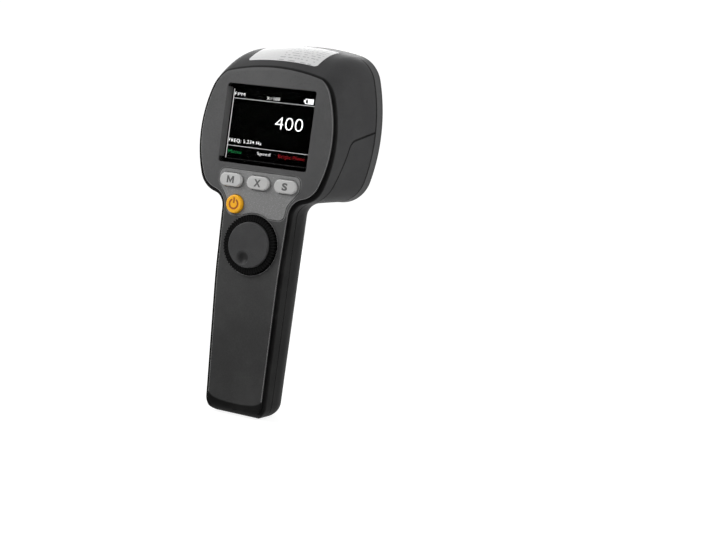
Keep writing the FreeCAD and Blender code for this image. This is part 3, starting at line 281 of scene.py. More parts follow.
class Look(Tree):
    """A material in the making: its tree, its shader and the shared effects."""

    def __init__(self, name: str, effects: Effects) -> None:
        """Opens the material.

        Args:
            name: Its name.
            effects: The shared effects.
        """
        self.material = bpy.data.materials.new(name)
        self.material.use_nodes = True
        super().__init__(self.material.node_tree)
        self.shader = self.tree.nodes["Principled BSDF"]
        self.effects = effects

    def set(self, **values: Input) -> None:
        """Feeds the shader's inputs by name, with underscores for spaces."""
        for name, value in values.items():
            self.feed(self.shader.inputs[name.replace("_", " ")], value)

    def grain(self, size: float) -> Sequence[Socket]:
        """Height and mask of the mould's grain."""
        return self.add("Group", node_tree=self.effects.grain, Size=size).outputs

    def film(self, amount: float) -> Socket:
        """Share of the handling film."""
        return self.add("Group", node_tree=self.effects.film, Amount=amount).outputs[0]

    def sharpness(self, reach: float, lean: Pair = (0.995, 0.9)) -> Socket:
        """Where the surface turns sharply: how far the rounded normal leans from the real one.

        Args:
            reach: How far from an edge it is felt, in metres.
            lean: Cosine of the lean at which it starts and is full.

        Returns:
            The share, from 0 to 1.
        """
        normals = (self.add("Bevel", samples=8, Radius=reach).outputs["Normal"],
                   self.add("NewGeometry").outputs["Normal"])
        return self.span(self.add("VectorMath", *normals, operation="DOT_PRODUCT").outputs["Value"], *lean)

    def bump(self, height: Socket, distance: float, edge: float = 0.0) -> None:
        """Feeds a height into the shader's normal.

        Args:
            height: The height.
            distance: Height of one unit, in metres.
            edge: Radius at which the light rounds sharp edges, in metres.
        """
        node = self.add("Bump", Height=height, Distance=distance)
        if edge:
            self.feed(node.inputs["Normal"], self.add("Bevel", samples=6, Radius=edge).outputs["Normal"])
        self.set(Normal=node.outputs["Normal"])


# ---- Finishes ----
@dataclass(frozen=True)
class Finish:
    """A finish: its material's name, colour, gloss and grain, all lengths in metres."""

    name: str
    colour: Colour
    roughness: float = 0.5
    specular: float = 0.5
    grain_size: float = 0.0007
    grain_height: float = 0.00004

    def make(self, effects: Effects) -> Material:
        """Builds the material.

        Args:
            effects: The shared effects.

        Returns:
            The material.
        """
        look = Look(self.name, effects)
        look.set(Base_Color=self.colour, Roughness=self.roughness, Specular_IOR_Level=self.specular)
        self.paint(look)
        return look.material

    def shade(self, factor: float) -> Colour:
        """The finish's colour times a factor."""
        return tuple(min(1.0, channel * factor) for channel in self.colour)

    def paint(self, look: Look) -> None:
        """Adds what varies over the surface. Each kind of finish has its own."""
        raise NotImplementedError


@dataclass(frozen=True)
class MouldedPlastic(Finish):
    """Injection-moulded plastic: eroded grain, a slight cloudiness and a handling film."""

    cloud: float = 0.12
    film: float = 0.25
    film_tone: Colour = (0.32, 0.32, 0.31)
    film_share: float = 0.12
    film_roughness: float = 0.16
    roughness_swing: float = 0.04
    edge: float = 0.0

    def body_tone(self, look: Look) -> Optional[Socket]:
        """The plastic's colour where it differs over the piece, or None."""
        return None

    def paint(self, look: Look) -> None:
        """Tone and gloss by grain and film, and the grain's height.

        Args:
            look: The material.
        """
        height, mask = look.grain(self.grain_size)
        film, base = look.film(self.film), self.body_tone(look)
        low, high = 1 - self.cloud, 1 + self.cloud
        if base is None:
            tone = look.mix(mask, self.shade(low), self.shade(high))
        else:
            tone = look.scaled(base, look.span(mask, 0.0, 1.0, low, high))
        gloss = look.span(mask, 0.0, 1.0, self.roughness - self.roughness_swing,
                          self.roughness + self.roughness_swing)
        look.set(Base_Color=look.mix(look.times(film, self.film_share), tone, self.film_tone),
                 Roughness=look.math("MULTIPLY_ADD", film, self.film_roughness, gloss))
        look.bump(height, self.grain_height, self.edge)


@dataclass(frozen=True)
class DialPlastic(MouldedPlastic):
    """Dial cap: satin, with shade gathered in its finger dimple."""

    dimple: Pair = (-0.00213, 0.08443)
    dimple_reach: float = 0.0037
    dimple_core: float = 0.55
    dimple_shade: float = 0.3

    def body_tone(self, look: Look) -> Socket:
        """The cap's colour, darker towards the middle of the dimple.

        Args:
            look: The material.

        Returns:
            The colour.
        """
        away = look.reach(*look.offsets(self.dimple))
        inside = look.span(away, self.dimple_reach, self.dimple_reach * self.dimple_core)
        return look.mix(inside, self.colour, self.shade(self.dimple_shade))


@dataclass(frozen=True)
class HousingPlastic(MouldedPlastic):
    """Housing: satin on the head, darker on the grip, and painted shade in its joint and seams.

    The lips of the finger slits get a painted highlight, a paler tone. Of each pair that a tone changes
    over, the first value is where the change starts.
    """

    grip: Colour = grey(0.0055)
    # painted shade: the dark tone put in the joint, at the seams and, on the back shell, in the gap round
    # the plate
    painted_shade: Colour = grey(0.004)
    # painted highlight: the pale tone at sharp edges, the slits' lips here and the plate's edge on the back
    # shell
    pale: Colour = grey(0.2)
    neck: Pair = (0.095, 0.138)
    joint: float = 0.0189
    joint_core: float = 0.0003
    joint_reach: float = 0.0009
    seam_reach: float = 0.0014
    highlight_reach: float = 0.0008
    slits: Pair = (0.0095, 0.084)
    slit_fade: float = 0.002
    slit_foot: Pair = (0.018, 0.02)

    def skin(self, look: Look, axes: Sequence[Socket]) -> Socket:
        """Head and grip by height, with painted shade in the joint to the bezel and in the seams.

        Args:
            look: The material.
            axes: The place's three coordinates.

        Returns:
            The colour.
        """
        # Darker on the grip, below the neck.
        tone = look.mix(look.span(axes[2], *self.neck), self.grip, self.colour)
        # Painted shade near the joint plane to the bezel.
        off = look.apart(axes[1], self.joint)
        tone = look.mix(look.span(off, self.joint_core, self.joint_reach), self.painted_shade, tone)
        # Painted shade at sharp edges, where the seams are.
        return look.mix(look.sharpness(self.seam_reach), tone, self.painted_shade)

    def body_tone(self, look: Look) -> Socket:
        """The skin's colour, with a painted highlight at the lips of the finger slits.

        Args:
            look: The material.

        Returns:
            The colour.
        """
        axes = look.axes()
        beside, top = self.slits
        # Painted highlight on the sharp lips of the finger slits.
        lip_highlight = look.times(look.span(look.math("ABSOLUTE", axes[0]), beside, beside - self.slit_fade),
                          look.span(axes[2], top, top - self.slit_fade),
                          look.sharpness(self.highlight_reach), look.span(axes[2], *self.slit_foot))
        return look.mix(lip_highlight, self.skin(look, axes), self.pale)


@dataclass(frozen=True)
class BezelPlastic(HousingPlastic):
    """Lamp bezel: satin round its rim, with painted shade that makes it darker towards its front."""

    # painted shade: the darker tone of the bezel's front
    face: Colour = grey(0.03)
    front_shade_from: Pair = (0.0225, 0.0262)

    def body_tone(self, look: Look) -> Socket:
        """Rim, and painted shade on the front, by depth."""
        axes = look.axes()
        return look.mix(look.span(axes[1], *self.front_shade_from), self.skin(look, axes), self.face)


@dataclass(frozen=True)
class BackShell(HousingPlastic):
    """Rear housing: a raised plate painted lighter towards the top, a painted highlight on its edge,
    painted shade in the gap round it, and the skin beyond.

    Depth is measured along Y from the back, which is two planes that meet at bend_height. The
    plate's tones go by height, lighter towards the top: painted light. Its rim's painted highlight is left
    out at the display's opening.
    """

    # painted highlight on the plate's edge
    pale: Colour = grey(0.26)
    # painted light: the plate's tones by height, lighter towards the top
    plate: tuple[tuple[float, Colour], ...] = ((0.02, grey(0.045)), (0.09, grey(0.062)),
                                               (0.13, (0.094, 0.094, 0.095)))
    plate_depth: Pair = (0.001, 0.0006)
    # depths over which the gap's painted shade gives way to the skin
    shade_band_depth: Pair = (0.0015, 0.0027)
    plate_foot: float = 0.0068
    foot_half: float = 0.0185
    foot_bow: float = 0.0022
    foot_corner: float = 0.005
    foot_fade: float = 0.0006
    foot_limit: float = 1.1
    opening: Pair = (0.0285, 0.13)
    opening_fade: float = 0.0005
    face_point: Pair = (-0.0206, 0.1536)
    face_slope: float = 0.05766
    grip_slope: float = -0.0070
    bend_height: float = 0.0753

    def foot_line(self, look: Look, across: Socket) -> Socket:
        """Height of the plate's foot: a shallow bow, u squared, and round corners, u to the eighth,
        where u is the place across over half the width.

        Args:
            look: The material.
            across: The place across the tool.

        Returns:
            The height.
        """
        share = look.math("ABSOLUTE", look.math("DIVIDE", across, self.foot_half))
        share = look.math("MINIMUM", share, self.foot_limit)
        line = self.plate_foot
        for power, rise in ((2.0, self.foot_bow), (8.0, self.foot_corner)):
            line = look.math("MULTIPLY_ADD", look.math("POWER", share, power), rise, line)
        return line

    def back_depth(self, look: Look, axes: Sequence[Socket]) -> Socket:
        """Depth behind the back's two planes.

        Args:
            look: The material.
            axes: The place's three coordinates.

        Returns:
            The depth.
        """
        bend_y = self.face_point[0] - self.face_slope * (self.face_point[1] - self.bend_height)
        above = look.minus(axes[2], self.bend_height)
        planes = (look.math("MULTIPLY_ADD", above, slope, bend_y)
                  for slope in (self.face_slope, self.grip_slope))
        return look.minus(axes[1], look.math("MAXIMUM", *planes))

    def body_tone(self, look: Look) -> Socket:
        """Plate, painted shade in the gap round it, and skin, by depth.

        Args:
            look: The material.

        Returns:
            The colour.
        """
        axes = look.axes()
        depth = self.back_depth(look, axes)
        # Painted shade in the gap round the plate.
        outer = look.mix(look.span(depth, *self.shade_band_depth), self.painted_shade, self.skin(look, axes))
        above_foot = look.minus(axes[2], self.foot_line(look, axes[0]))
        on_plate = look.times(look.span(depth, *self.plate_depth),
                              look.span(above_foot, -self.foot_fade, self.foot_fade))
        # Painted light: the plate gets lighter towards the top.
        plate = self.plate[0][1]
        for (low, _), (high, tone) in zip(self.plate, self.plate[1:]):
            plate = look.mix(look.span(axes[2], low, high), plate, tone)
        wide, foot = self.opening
        beside = look.span(look.math("ABSOLUTE", axes[0]), wide, wide + self.opening_fade)
        below = look.span(axes[2], foot + self.opening_fade, foot)
        # Painted highlight on the plate's edge, left out at the display's opening.
        rim = look.times(look.sharpness(self.highlight_reach), look.math("MAXIMUM", beside, below))
        return look.mix(on_plate, outer, look.mix(rim, plate, self.pale))


@dataclass(frozen=True)
class SpeckledInlay(Finish):
    """Printed inlay: a grey field with lighter flecks, thinned out in patches."""

    grain_size: float = 0.0004
    grain_height: float = 0.00002
    fleck: Colour = grey(0.42)
    fleck_scale: float = 2600.0
    fleck_size: Pair = (0.42, 0.18)
    patch_scale: float = 1170.0
    patches: Pair = (0.35, 0.65)

    def paint(self, look: Look) -> None:
        """Flecks in cells, and the grain's height.

        Args:
            look: The material.
        """
        place = look.place()
        cells = look.add("TexVoronoi", Vector=place, Scale=self.fleck_scale).outputs["Distance"]
        amount = look.times(look.span(cells, *self.fleck_size),
                            look.span(look.noise(place, self.patch_scale, Detail=3.0), *self.patches))
        look.set(Base_Color=look.mix(amount, self.colour, self.fleck))
        look.bump(look.grain(self.grain_size)[0], self.grain_height)


@dataclass(frozen=True)
class SiliconeRubber(Finish):
    """Soft key rubber: smooth, slightly clouded, with a sheen."""

    grain_size: float = 0.00035
    grain_height: float = 0.000015
    sheen: float = 0.2
    sheen_roughness: float = 0.4
    clouds: Pair = (0.93, 1.06)

    def paint(self, look: Look) -> None:
        """Clouds by the grain, and the grain's height.

        Args:
            look: The material.
        """
        height, mask = look.grain(self.grain_size)
        look.set(Base_Color=look.mix(mask, *map(self.shade, self.clouds)),
                 Sheen_Weight=self.sheen, Sheen_Roughness=self.sheen_roughness)
        look.bump(height, self.grain_height)


@dataclass(frozen=True)
class KnurledRubber(Finish):
    """Black rubber ring with notches that run out from its middle, as many as the rim's flutes, with
    painted shade in the notches.
    """

    grain_size: float = 0.00035
    grain_height: float = 0.05
    ridge: Colour = grey(0.006)
    centre: Pair = (0.0, 0.0914)
    count: int = 60
    inner: Pair = (0.0125, 0.0131)
    flanks: Pair = (-0.2, 0.5)
    notch_depth: float = 0.0004

    def paint(self, look: Look) -> None:
        """Notches by the cosine of the angle times their count, with painted shade in them. Grain height is
        a share of theirs.

        Args:
            look: The material.
        """
        x, z = look.offsets(self.centre)
        wave = look.math("COSINE", look.times(look.math("ARCTAN2", z, x), float(self.count)))
        notch = look.times(look.span(wave, *self.flanks), look.span(look.reach(x, z), *self.inner))
        # Painted shade: the notches take the darker colour, the ridges the lighter one.
        look.set(Base_Color=look.mix(notch, self.ridge, self.colour))
        grain = look.times(look.grain(self.grain_size)[0], self.grain_height)
        look.bump(look.minus(grain, notch), self.notch_depth)


@dataclass(frozen=True)
class Metal(Finish):
    """Bare or plated metal with fine drawn lines."""

    grain_height: float = 0.000008
    fineness: float = 6000.0
    stretch: float = 0.04
    lines: Pair = (0.86, 1.06)
    film: float = 0.3
    film_roughness: float = 0.2

    def paint(self, look: Look) -> None:
        """Tone and height of the lines, and a film that dulls them.

        Args:
            look: The material.
        """
        height, mask = look.add("Group", node_tree=look.effects.brushed, Fineness=self.fineness,
                                Stretch=self.stretch).outputs
        rough = look.math("MULTIPLY_ADD", look.film(self.film), self.film_roughness, self.roughness)
        look.set(Metallic=1.0, Base_Color=look.mix(mask, *map(self.shade, self.lines)), Roughness=rough)
        look.bump(height, self.grain_height)


@dataclass(frozen=True)
class ClearGlass(Finish):
    """Clear sheet that shows what is behind it."""

    index: float = 1.03
    film: float = 0.2
    film_roughness: float = 0.03

    def paint(self, look: Look) -> None:
        """Clear all through, with a film that dulls it."""
        rough = look.math("MULTIPLY_ADD", look.film(self.film), self.film_roughness, self.roughness)
        look.set(Transmission_Weight=1.0, IOR=self.index, Roughness=rough)


@dataclass(frozen=True)
class CircuitBoard(Finish):
    """Board under solder mask, with tracks that show as raised lines, and bare pads.

    Tracks run across in some blocks and up in others.
    """

    grain_height: float = 0.00003
    copper: Colour = (0.62, 0.52, 0.26)
    covered: float = 1.7
    pitch: float = 0.0021
    block_scale: float = 90.0
    patch_scale: float = 160.0
    track: Pair = (0.22, 0.16)
    pad: Pair = (0.16, 0.12)
    padded: Pair = (0.5, 0.56)

    def paint(self, look: Look) -> None:
        """Tracks, one to a pitch, and pads, one to two pitches each way.

        Args:
            look: The material.
        """
        place = look.place()
        x, _, z = look.add("SeparateXYZ", place).outputs
        across, up = look.math("DIVIDE", x, self.pitch), look.math("DIVIDE", z, self.pitch)
        blocks = look.add("TexVoronoi", Vector=place, Scale=self.block_scale, distance="CHEBYCHEV")
        block = look.add("SeparateColor", blocks.outputs["Color"]).outputs[0]
        turn = look.math("GREATER_THAN", block, 0.5)
        chosen = look.math("ADD", look.times(across, turn), look.times(up, look.minus(1.0, turn)))
        track = look.span(look.apart(look.math("FRACT", chosen), 0.5), *self.track)
        cell = (look.minus(look.math("FRACT", look.times(axis, 0.5)), 0.5) for axis in (across, up))
        pad = look.times(look.span(look.reach(*cell), *self.pad),
                         look.span(look.noise(place, self.patch_scale), *self.padded))
        masked = look.mix(track, self.colour, self.shade(self.covered))
        look.set(Base_Color=look.mix(pad, masked, self.copper), Metallic=pad)
        look.bump(look.math("MAXIMUM", track, pad), self.grain_height)


@dataclass(frozen=True)
class LampGlow(Finish):
    """Lit surface of the lamp: its light falls off from the middle of the nearest lens. On the lens plate
    this glow is painted light, glare round each lens.

    stops are the light at distances from the lens's axis. Only what lies in front of front is lit.
    """

    grain_size: float = 0.0006
    grain_height: float = 0.00001
    centre: Pair = (0.0, 0.1561)
    pitch: float = 0.0211
    stops: tuple[Pair, ...] = ((0.0, 1.0), (0.0097, 0.0))
    glow: Colour = (1.0, 1.0, 0.99)
    front: float = 0.0252
    front_fade: float = 0.0003

    def from_axis(self, look: Look, offset: Socket) -> Socket:
        """Signed distance along one axis to the nearest lens, of the three that stand along it.

        Args:
            look: The material.
            offset: The distance to the middle lens.

        Returns:
            The distance.
        """
        shifted = look.math("DIVIDE", offset, self.pitch)
        nearest = look.math("MINIMUM", look.math("MAXIMUM", look.math("ROUND", shifted), -1.0), 1.0)
        return look.times(look.minus(shifted, nearest), self.pitch)

    def falloff(self, look: Look) -> Socket:
        """The light over the distance from the nearest lens axis.

        Args:
            look: The material.

        Returns:
            Its level, as a grey.
        """
        distance = look.reach(*(self.from_axis(look, offset) for offset in look.offsets(self.centre)))
        last = self.stops[-1][0]
        ramp = look.add("ValToRGB", look.math("DIVIDE", distance, last))
        elements = ramp.color_ramp.elements
        elements[1].position = 1.0
        for stop, _ in self.stops[1:-1]:
            elements.new(stop / last)
        for element, (_, light) in zip(elements, self.stops):
            element.color = (*grey(light), 1.0)
        return ramp.outputs["Color"]

    def paint(self, look: Look) -> None:
        """Light in front, and the grain's height.

        Args:
            look: The material.
        """
        shown = look.span(look.axes()[1], self.front, self.front + self.front_fade)
        light = look.mix(shown, grey(0.0), self.falloff(look))
        look.set(Emission_Color=look.mix(light, grey(0.0), self.glow), Emission_Strength=1.0)
        look.bump(look.grain(self.grain_size)[0], self.grain_height)


@dataclass(frozen=True)
class Luminous(Finish):
    """Lit picture elements and phosphor."""

    specular: float = 0.0
    grain_size: float = 0.0003
    strength: float = 1.0
    dimmed: float = 0.94

    def paint(self, look: Look) -> None:
        """Light that the grain dims a little."""
        glow = look.mix(look.grain(self.grain_size)[1], self.shade(self.dimmed), self.shade(1.0))
        look.set(Emission_Color=glow, Emission_Strength=self.strength)


@dataclass(frozen=True)
class Paper(Finish):
    """Satin label stock with faint fibres and broken grey rules, which stand for small print."""

    grain_height: float = 0.000008
    fibre_scale: float = 1400.0
    fibres: Pair = (0.35, 0.65)
    fibre_shades: Pair = (0.95, 1.02)
    film: float = 0.25
    film_share: float = 0.3
    film_tone: Colour = (0.55, 0.55, 0.53)
    rule: Colour = (0.42, 0.42, 0.43)
    rule_pitch: float = 0.0026
    rule_width: Pair = (0.2, 0.12)
    breaks: Pair = (0.46, 0.52)
    break_step: float = 420.0
    ruled: Pair = (-0.003, 0.019)
    ruled_fade: float = 0.0002

    def rules(self, look: Look) -> Socket:
        """Where the rules are: lines at a pitch, broken by noise, between two margins.

        Args:
            look: The material.

        Returns:
            Their share, from 0 to 1.
        """
        x, y, _ = look.axes()
        row = look.math("DIVIDE", y, self.rule_pitch)
        line = look.span(look.apart(look.math("FRACT", row), 0.5), *self.rule_width)
        step = look.add("CombineXYZ", look.times(x, self.break_step), look.math("FLOOR", row))
        broken = look.span(look.noise(step.outputs[0], 1.3, Detail=2.0), *self.breaks)
        (left, right), fade = self.ruled, self.ruled_fade
        return look.times(line, broken, look.span(x, left - fade, left + fade),
                          look.span(x, right + fade, right - fade))

    def paint(self, look: Look) -> None:
        """Fibres, rules and a film.

        Args:
            look: The material.
        """
        fibre = look.noise(look.place(), self.fibre_scale, Detail=4.0, Distortion=1.5)
        tone = look.mix(look.span(fibre, *self.fibres), *map(self.shade, self.fibre_shades))
        tone = look.mix(self.rules(look), tone, self.rule)
        film = look.times(look.film(self.film), self.film_share)
        look.set(Base_Color=look.mix(film, tone, self.film_tone))
        look.bump(fibre, self.grain_height)


# ---- Meshes ----
def linked(name: str, data: bpy.types.ID) -> Thing:
    """Makes an object of the data and puts it in the scene.

    Args:
        name: Its name.
        data: A mesh, curve, camera or light.

    Returns:
        The object.
    """
    thing = bpy.data.objects.new(name, data)
    bpy.context.scene.collection.objects.link(thing)
    return thing


def mesh_piece(name: str, points: np.ndarray, faces: Sequence[Sequence[int]]) -> Thing:
    """Makes an object of points and faces, at the origin, which shades smoothly up to sharp edges.

    Args:
        name: The piece's name.
        points: Corner places in metres, one row each.
        faces: Corner numbers of each face, seen from outside.

    Returns:
        The object.
    """
    mesh = bpy.data.meshes.new(name)
    mesh.from_pydata(points.tolist(), [], faces)
    mesh.update()
    mesh.shade_smooth()
    mesh.set_sharp_from_angle(angle=SHARP_ANGLE)
    return linked(name, mesh)


def grid_faces(rows: int, columns: int, closed: bool = True) -> list[list[int]]:
    """Faces of a grid of points.

    Args:
        rows: Points along the grid.
        columns: Points round it, or across it.
        closed: Whether the columns close on themselves.

    Returns:
        Four-cornered faces.
    """
    across = np.arange(columns if closed else columns - 1)
    row, column = np.meshgrid(np.arange(rows - 1), across, indexing="ij")
    first, after = row * columns + column, row * columns + (column + 1) % columns
    corners = [first, after, after + columns, first + columns]
    return np.stack(corners, axis=-1).reshape(-1, 4).tolist()


def tube_grid(name: str, rings: np.ndarray) -> Thing:
    """A closed solid from rings of points: neighbours are joined and both end rings are filled.

    Args:
        name: The piece's name.
        rings: Array of rings by points by 3, each ring counter-clockwise seen from the last one.

    Returns:
        The object.
    """
    rows, columns = rings.shape[:2]
    faces = grid_faces(rows, columns)
    faces.append(list(range(columns))[::-1])
    faces.append(list(range((rows - 1) * columns, rows * columns)))
    return mesh_piece(name, rings.reshape(-1, 3), faces)


def lathe_grid(name: str, profile: np.ndarray, centre: Place, steps: int) -> Thing:
    """A turned solid: the profile's radius and height carried round an axis along +Y.

    A point at turn a is centre + (radius sin a, height, radius cos a). Both ends are poles.

    Args:
        name: The piece's name.
        profile: Radius and height of each point, from the rear pole to the front pole.
        centre: Where the axis has no height. This and the profile are in millimetres.
        steps: Points round the axis.

    Returns:
        The object.
    """
    turn = np.linspace(0, 2 * np.pi, steps, endpoint=False)
    ring = np.stack([np.sin(turn), np.zeros(steps), np.cos(turn)], axis=-1)
    radius, height = profile[:, :1, None], profile[:, 1:, None]
    points = (centre + radius * ring + height * (0.0, 1.0, 0.0)) * MM
    rows = len(profile) - 2
    here, last = np.arange(steps), rows * steps
    after, rear, front = np.roll(here, -1), np.full(steps, last), np.full(steps, last + 1)
    fans = [[rear, after, here], [front, last - steps + here, last - steps + after]]
    faces = grid_faces(rows, steps) + [face for fan in fans for face in np.column_stack(fan).tolist()]
    return mesh_piece(name, np.concatenate([points[1:-1].reshape(-1, 3), points[[0, -1], 0]]), faces)


def box_outline(left: float, low: float, right: float, high: float) -> np.ndarray:
    """Corners of an upright rectangle, counter-clockwise."""
    return np.array([(left, low), (right, low), (right, high), (left, high)], float)


def arc_points(start: float, end: float, steps: int) -> np.ndarray:
    """Points on the unit circle from one angle to another."""
    turn = np.linspace(start, end, steps)
    return np.column_stack([np.cos(turn), np.sin(turn)])


def ring_outline(radius: float, width: float, first: float, last: float) -> np.ndarray:
    """Outline of a bent bar: two arcs about the origin with half round ends.

    Args:
        radius: Radius of its middle line.
        width: Its width.
        first: Angle of its start.
        last: Angle of its end.

    Returns:
        The outline, counter-clockwise.
    """
    arc, half = arc_points(first, last, ARC_STEPS), width / 2
    far = radius * arc[-1] + half * arc_points(last, last + math.pi, CURVE_STEPS)[1:-1]
    near = radius * arc[0] + half * arc_points(first + math.pi, first + 2 * math.pi, CURVE_STEPS)[1:-1]
    return np.concatenate([(radius + half) * arc, far, (radius - half) * arc[::-1], near])


@dataclass(frozen=True)
class FacePlane:
    """The display face as a plane: across it, up it and out of it, in millimetres."""

    y: float = -20.6
    height: float = 153.6
    tilt: float = math.radians(3.3)

    def place(self, points: np.ndarray) -> np.ndarray:
        """Moves rows of across, up and out to the object's frame.

        A point is middle + across X + up (0, sin t, cos t) + out (0, -cos t, sin t).

        Args:
            points: The rows, in millimetres.

        Returns:
            Their places, in metres.
        """
        sine, cosine = math.sin(self.tilt), math.cos(self.tilt)
        across, up, out = points[..., 0], points[..., 1], points[..., 2]
        return np.stack([across, self.y + up * sine - out * cosine,
                         self.height + up * cosine + out * sine], axis=-1) * MM

    def slab(self, name: str, outline: np.ndarray, out: float) -> Thing:
        """A slab of print on the face: its outline at the underside and at the top.

        Args:
            name: The piece's name.
            outline: Its outline across and up.
            out: Its underside, out of the face.

        Returns:
            The object.
        """
        rings = [np.column_stack([outline, np.full(len(outline), level)]) for level in (out, out + PRINT)]
        return tube_grid(name, self.place(np.stack(rings)))

    def words(self, name: str, text: str, left: float, base: float, tall: float, out: float,
              width: float, weight: float) -> Thing:
        """Flat lettering on the face.

        Args:
            name: The piece's name.
            text: What it says.
            left: Its left end across the face.
            base: Height of its base line up the face.
            tall: Height of a capital.
            out: Its underside, out of the face.
            width: Its width.
            weight: How far the strokes are grown.

        Returns:
            The object.
        """
        curve = bpy.data.curves.new(name + "_text", "FONT")
        curve.body = text
        curve.size = tall / CAPITAL_SHARE
        curve.extrude = PRINT / 2
        curve.offset = weight
        curve.space_character = SMALL_SPACING if tall < SMALL_LETTER else 1.0
        curve.resolution_u = LETTER_STEPS
        source = linked(name + "_text", curve)
        bpy.context.view_layer.update()
        mesh = bpy.data.meshes.new_from_object(source.evaluated_get(bpy.context.evaluated_depsgraph_get()))
        bpy.data.objects.remove(source)
        work = bmesh.new()
        work.from_mesh(mesh)
        bmesh.ops.remove_doubles(work, verts=work.verts, dist=WELD)
        bmesh.ops.recalc_face_normals(work, faces=work.faces)
        work.to_mesh(mesh)
        work.free()
        flat = np.zeros(len(mesh.vertices) * 3)
        mesh.vertices.foreach_get("co", flat)
        points = flat.reshape(-1, 3)
        start, end = points[:, 0].min(), points[:, 0].max()
        points = (points - (start, 0, 0)) * (width / (end - start), 1, 1) + (left, base, out + PRINT / 2)
        mesh.vertices.foreach_set("co", self.place(points).ravel())
        mesh.materials.clear()
        mesh.update()
        return linked(name, mesh)


FACE = FacePlane()


# ---- Sub-assemblies ----
@dataclass
class Assembly:
    """A sub-assembly: it dresses its nodes and adds its pieces.

    dressing gives the nodes that take the finish of each material slot.
    """

    finishes: dict[str, Material]
    dressing: ClassVar[dict[str, tuple[str, ...]]] = {}

    def build(self) -> None:
        """Dresses the nodes and adds the pieces."""
        for slot, nodes in self.dressing.items():
            for node in nodes:
                self.dress(node, slot)
        self.pieces()

    def pieces(self) -> None:
        """Adds new pieces. There are none where the nodes are enough."""

    def dress(self, node: str, slot: str) -> None:
        """Gives a CAD node the finish of its slot.

        Args:
            node: The node's name.
            slot: The material slot.
        """
        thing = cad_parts[node]
        thing.data.materials.clear()
        thing.data.materials.append(self.finishes[slot])
        log.info("dressed %s as %s", node, slot)

    def add(self, piece: Thing, body: Body, slot: str, finish: Optional[str] = None) -> None:
        """Gives a new piece its finish and attaches it to its body.

        Args:
            piece: The object.
            body: The body that it rides on.
            slot: The record's material slot that it belongs to.
            finish: Its finish where that isn't the slot's own.
        """
        piece.data.materials.append(self.finishes[finish or slot])
        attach(piece, body.value)
        log.info("added %s on %s", piece.name, body.value)


@dataclass
class Housing(Assembly):
    """Rear and front housing, their screws, and the label on the head."""

    dressing = {"housing_dark_grey": ("rear_housing",), "housing_black": ("front_housing",),
                "screw_black": ("housing_screws",), "label_white": ("rating_label",)}


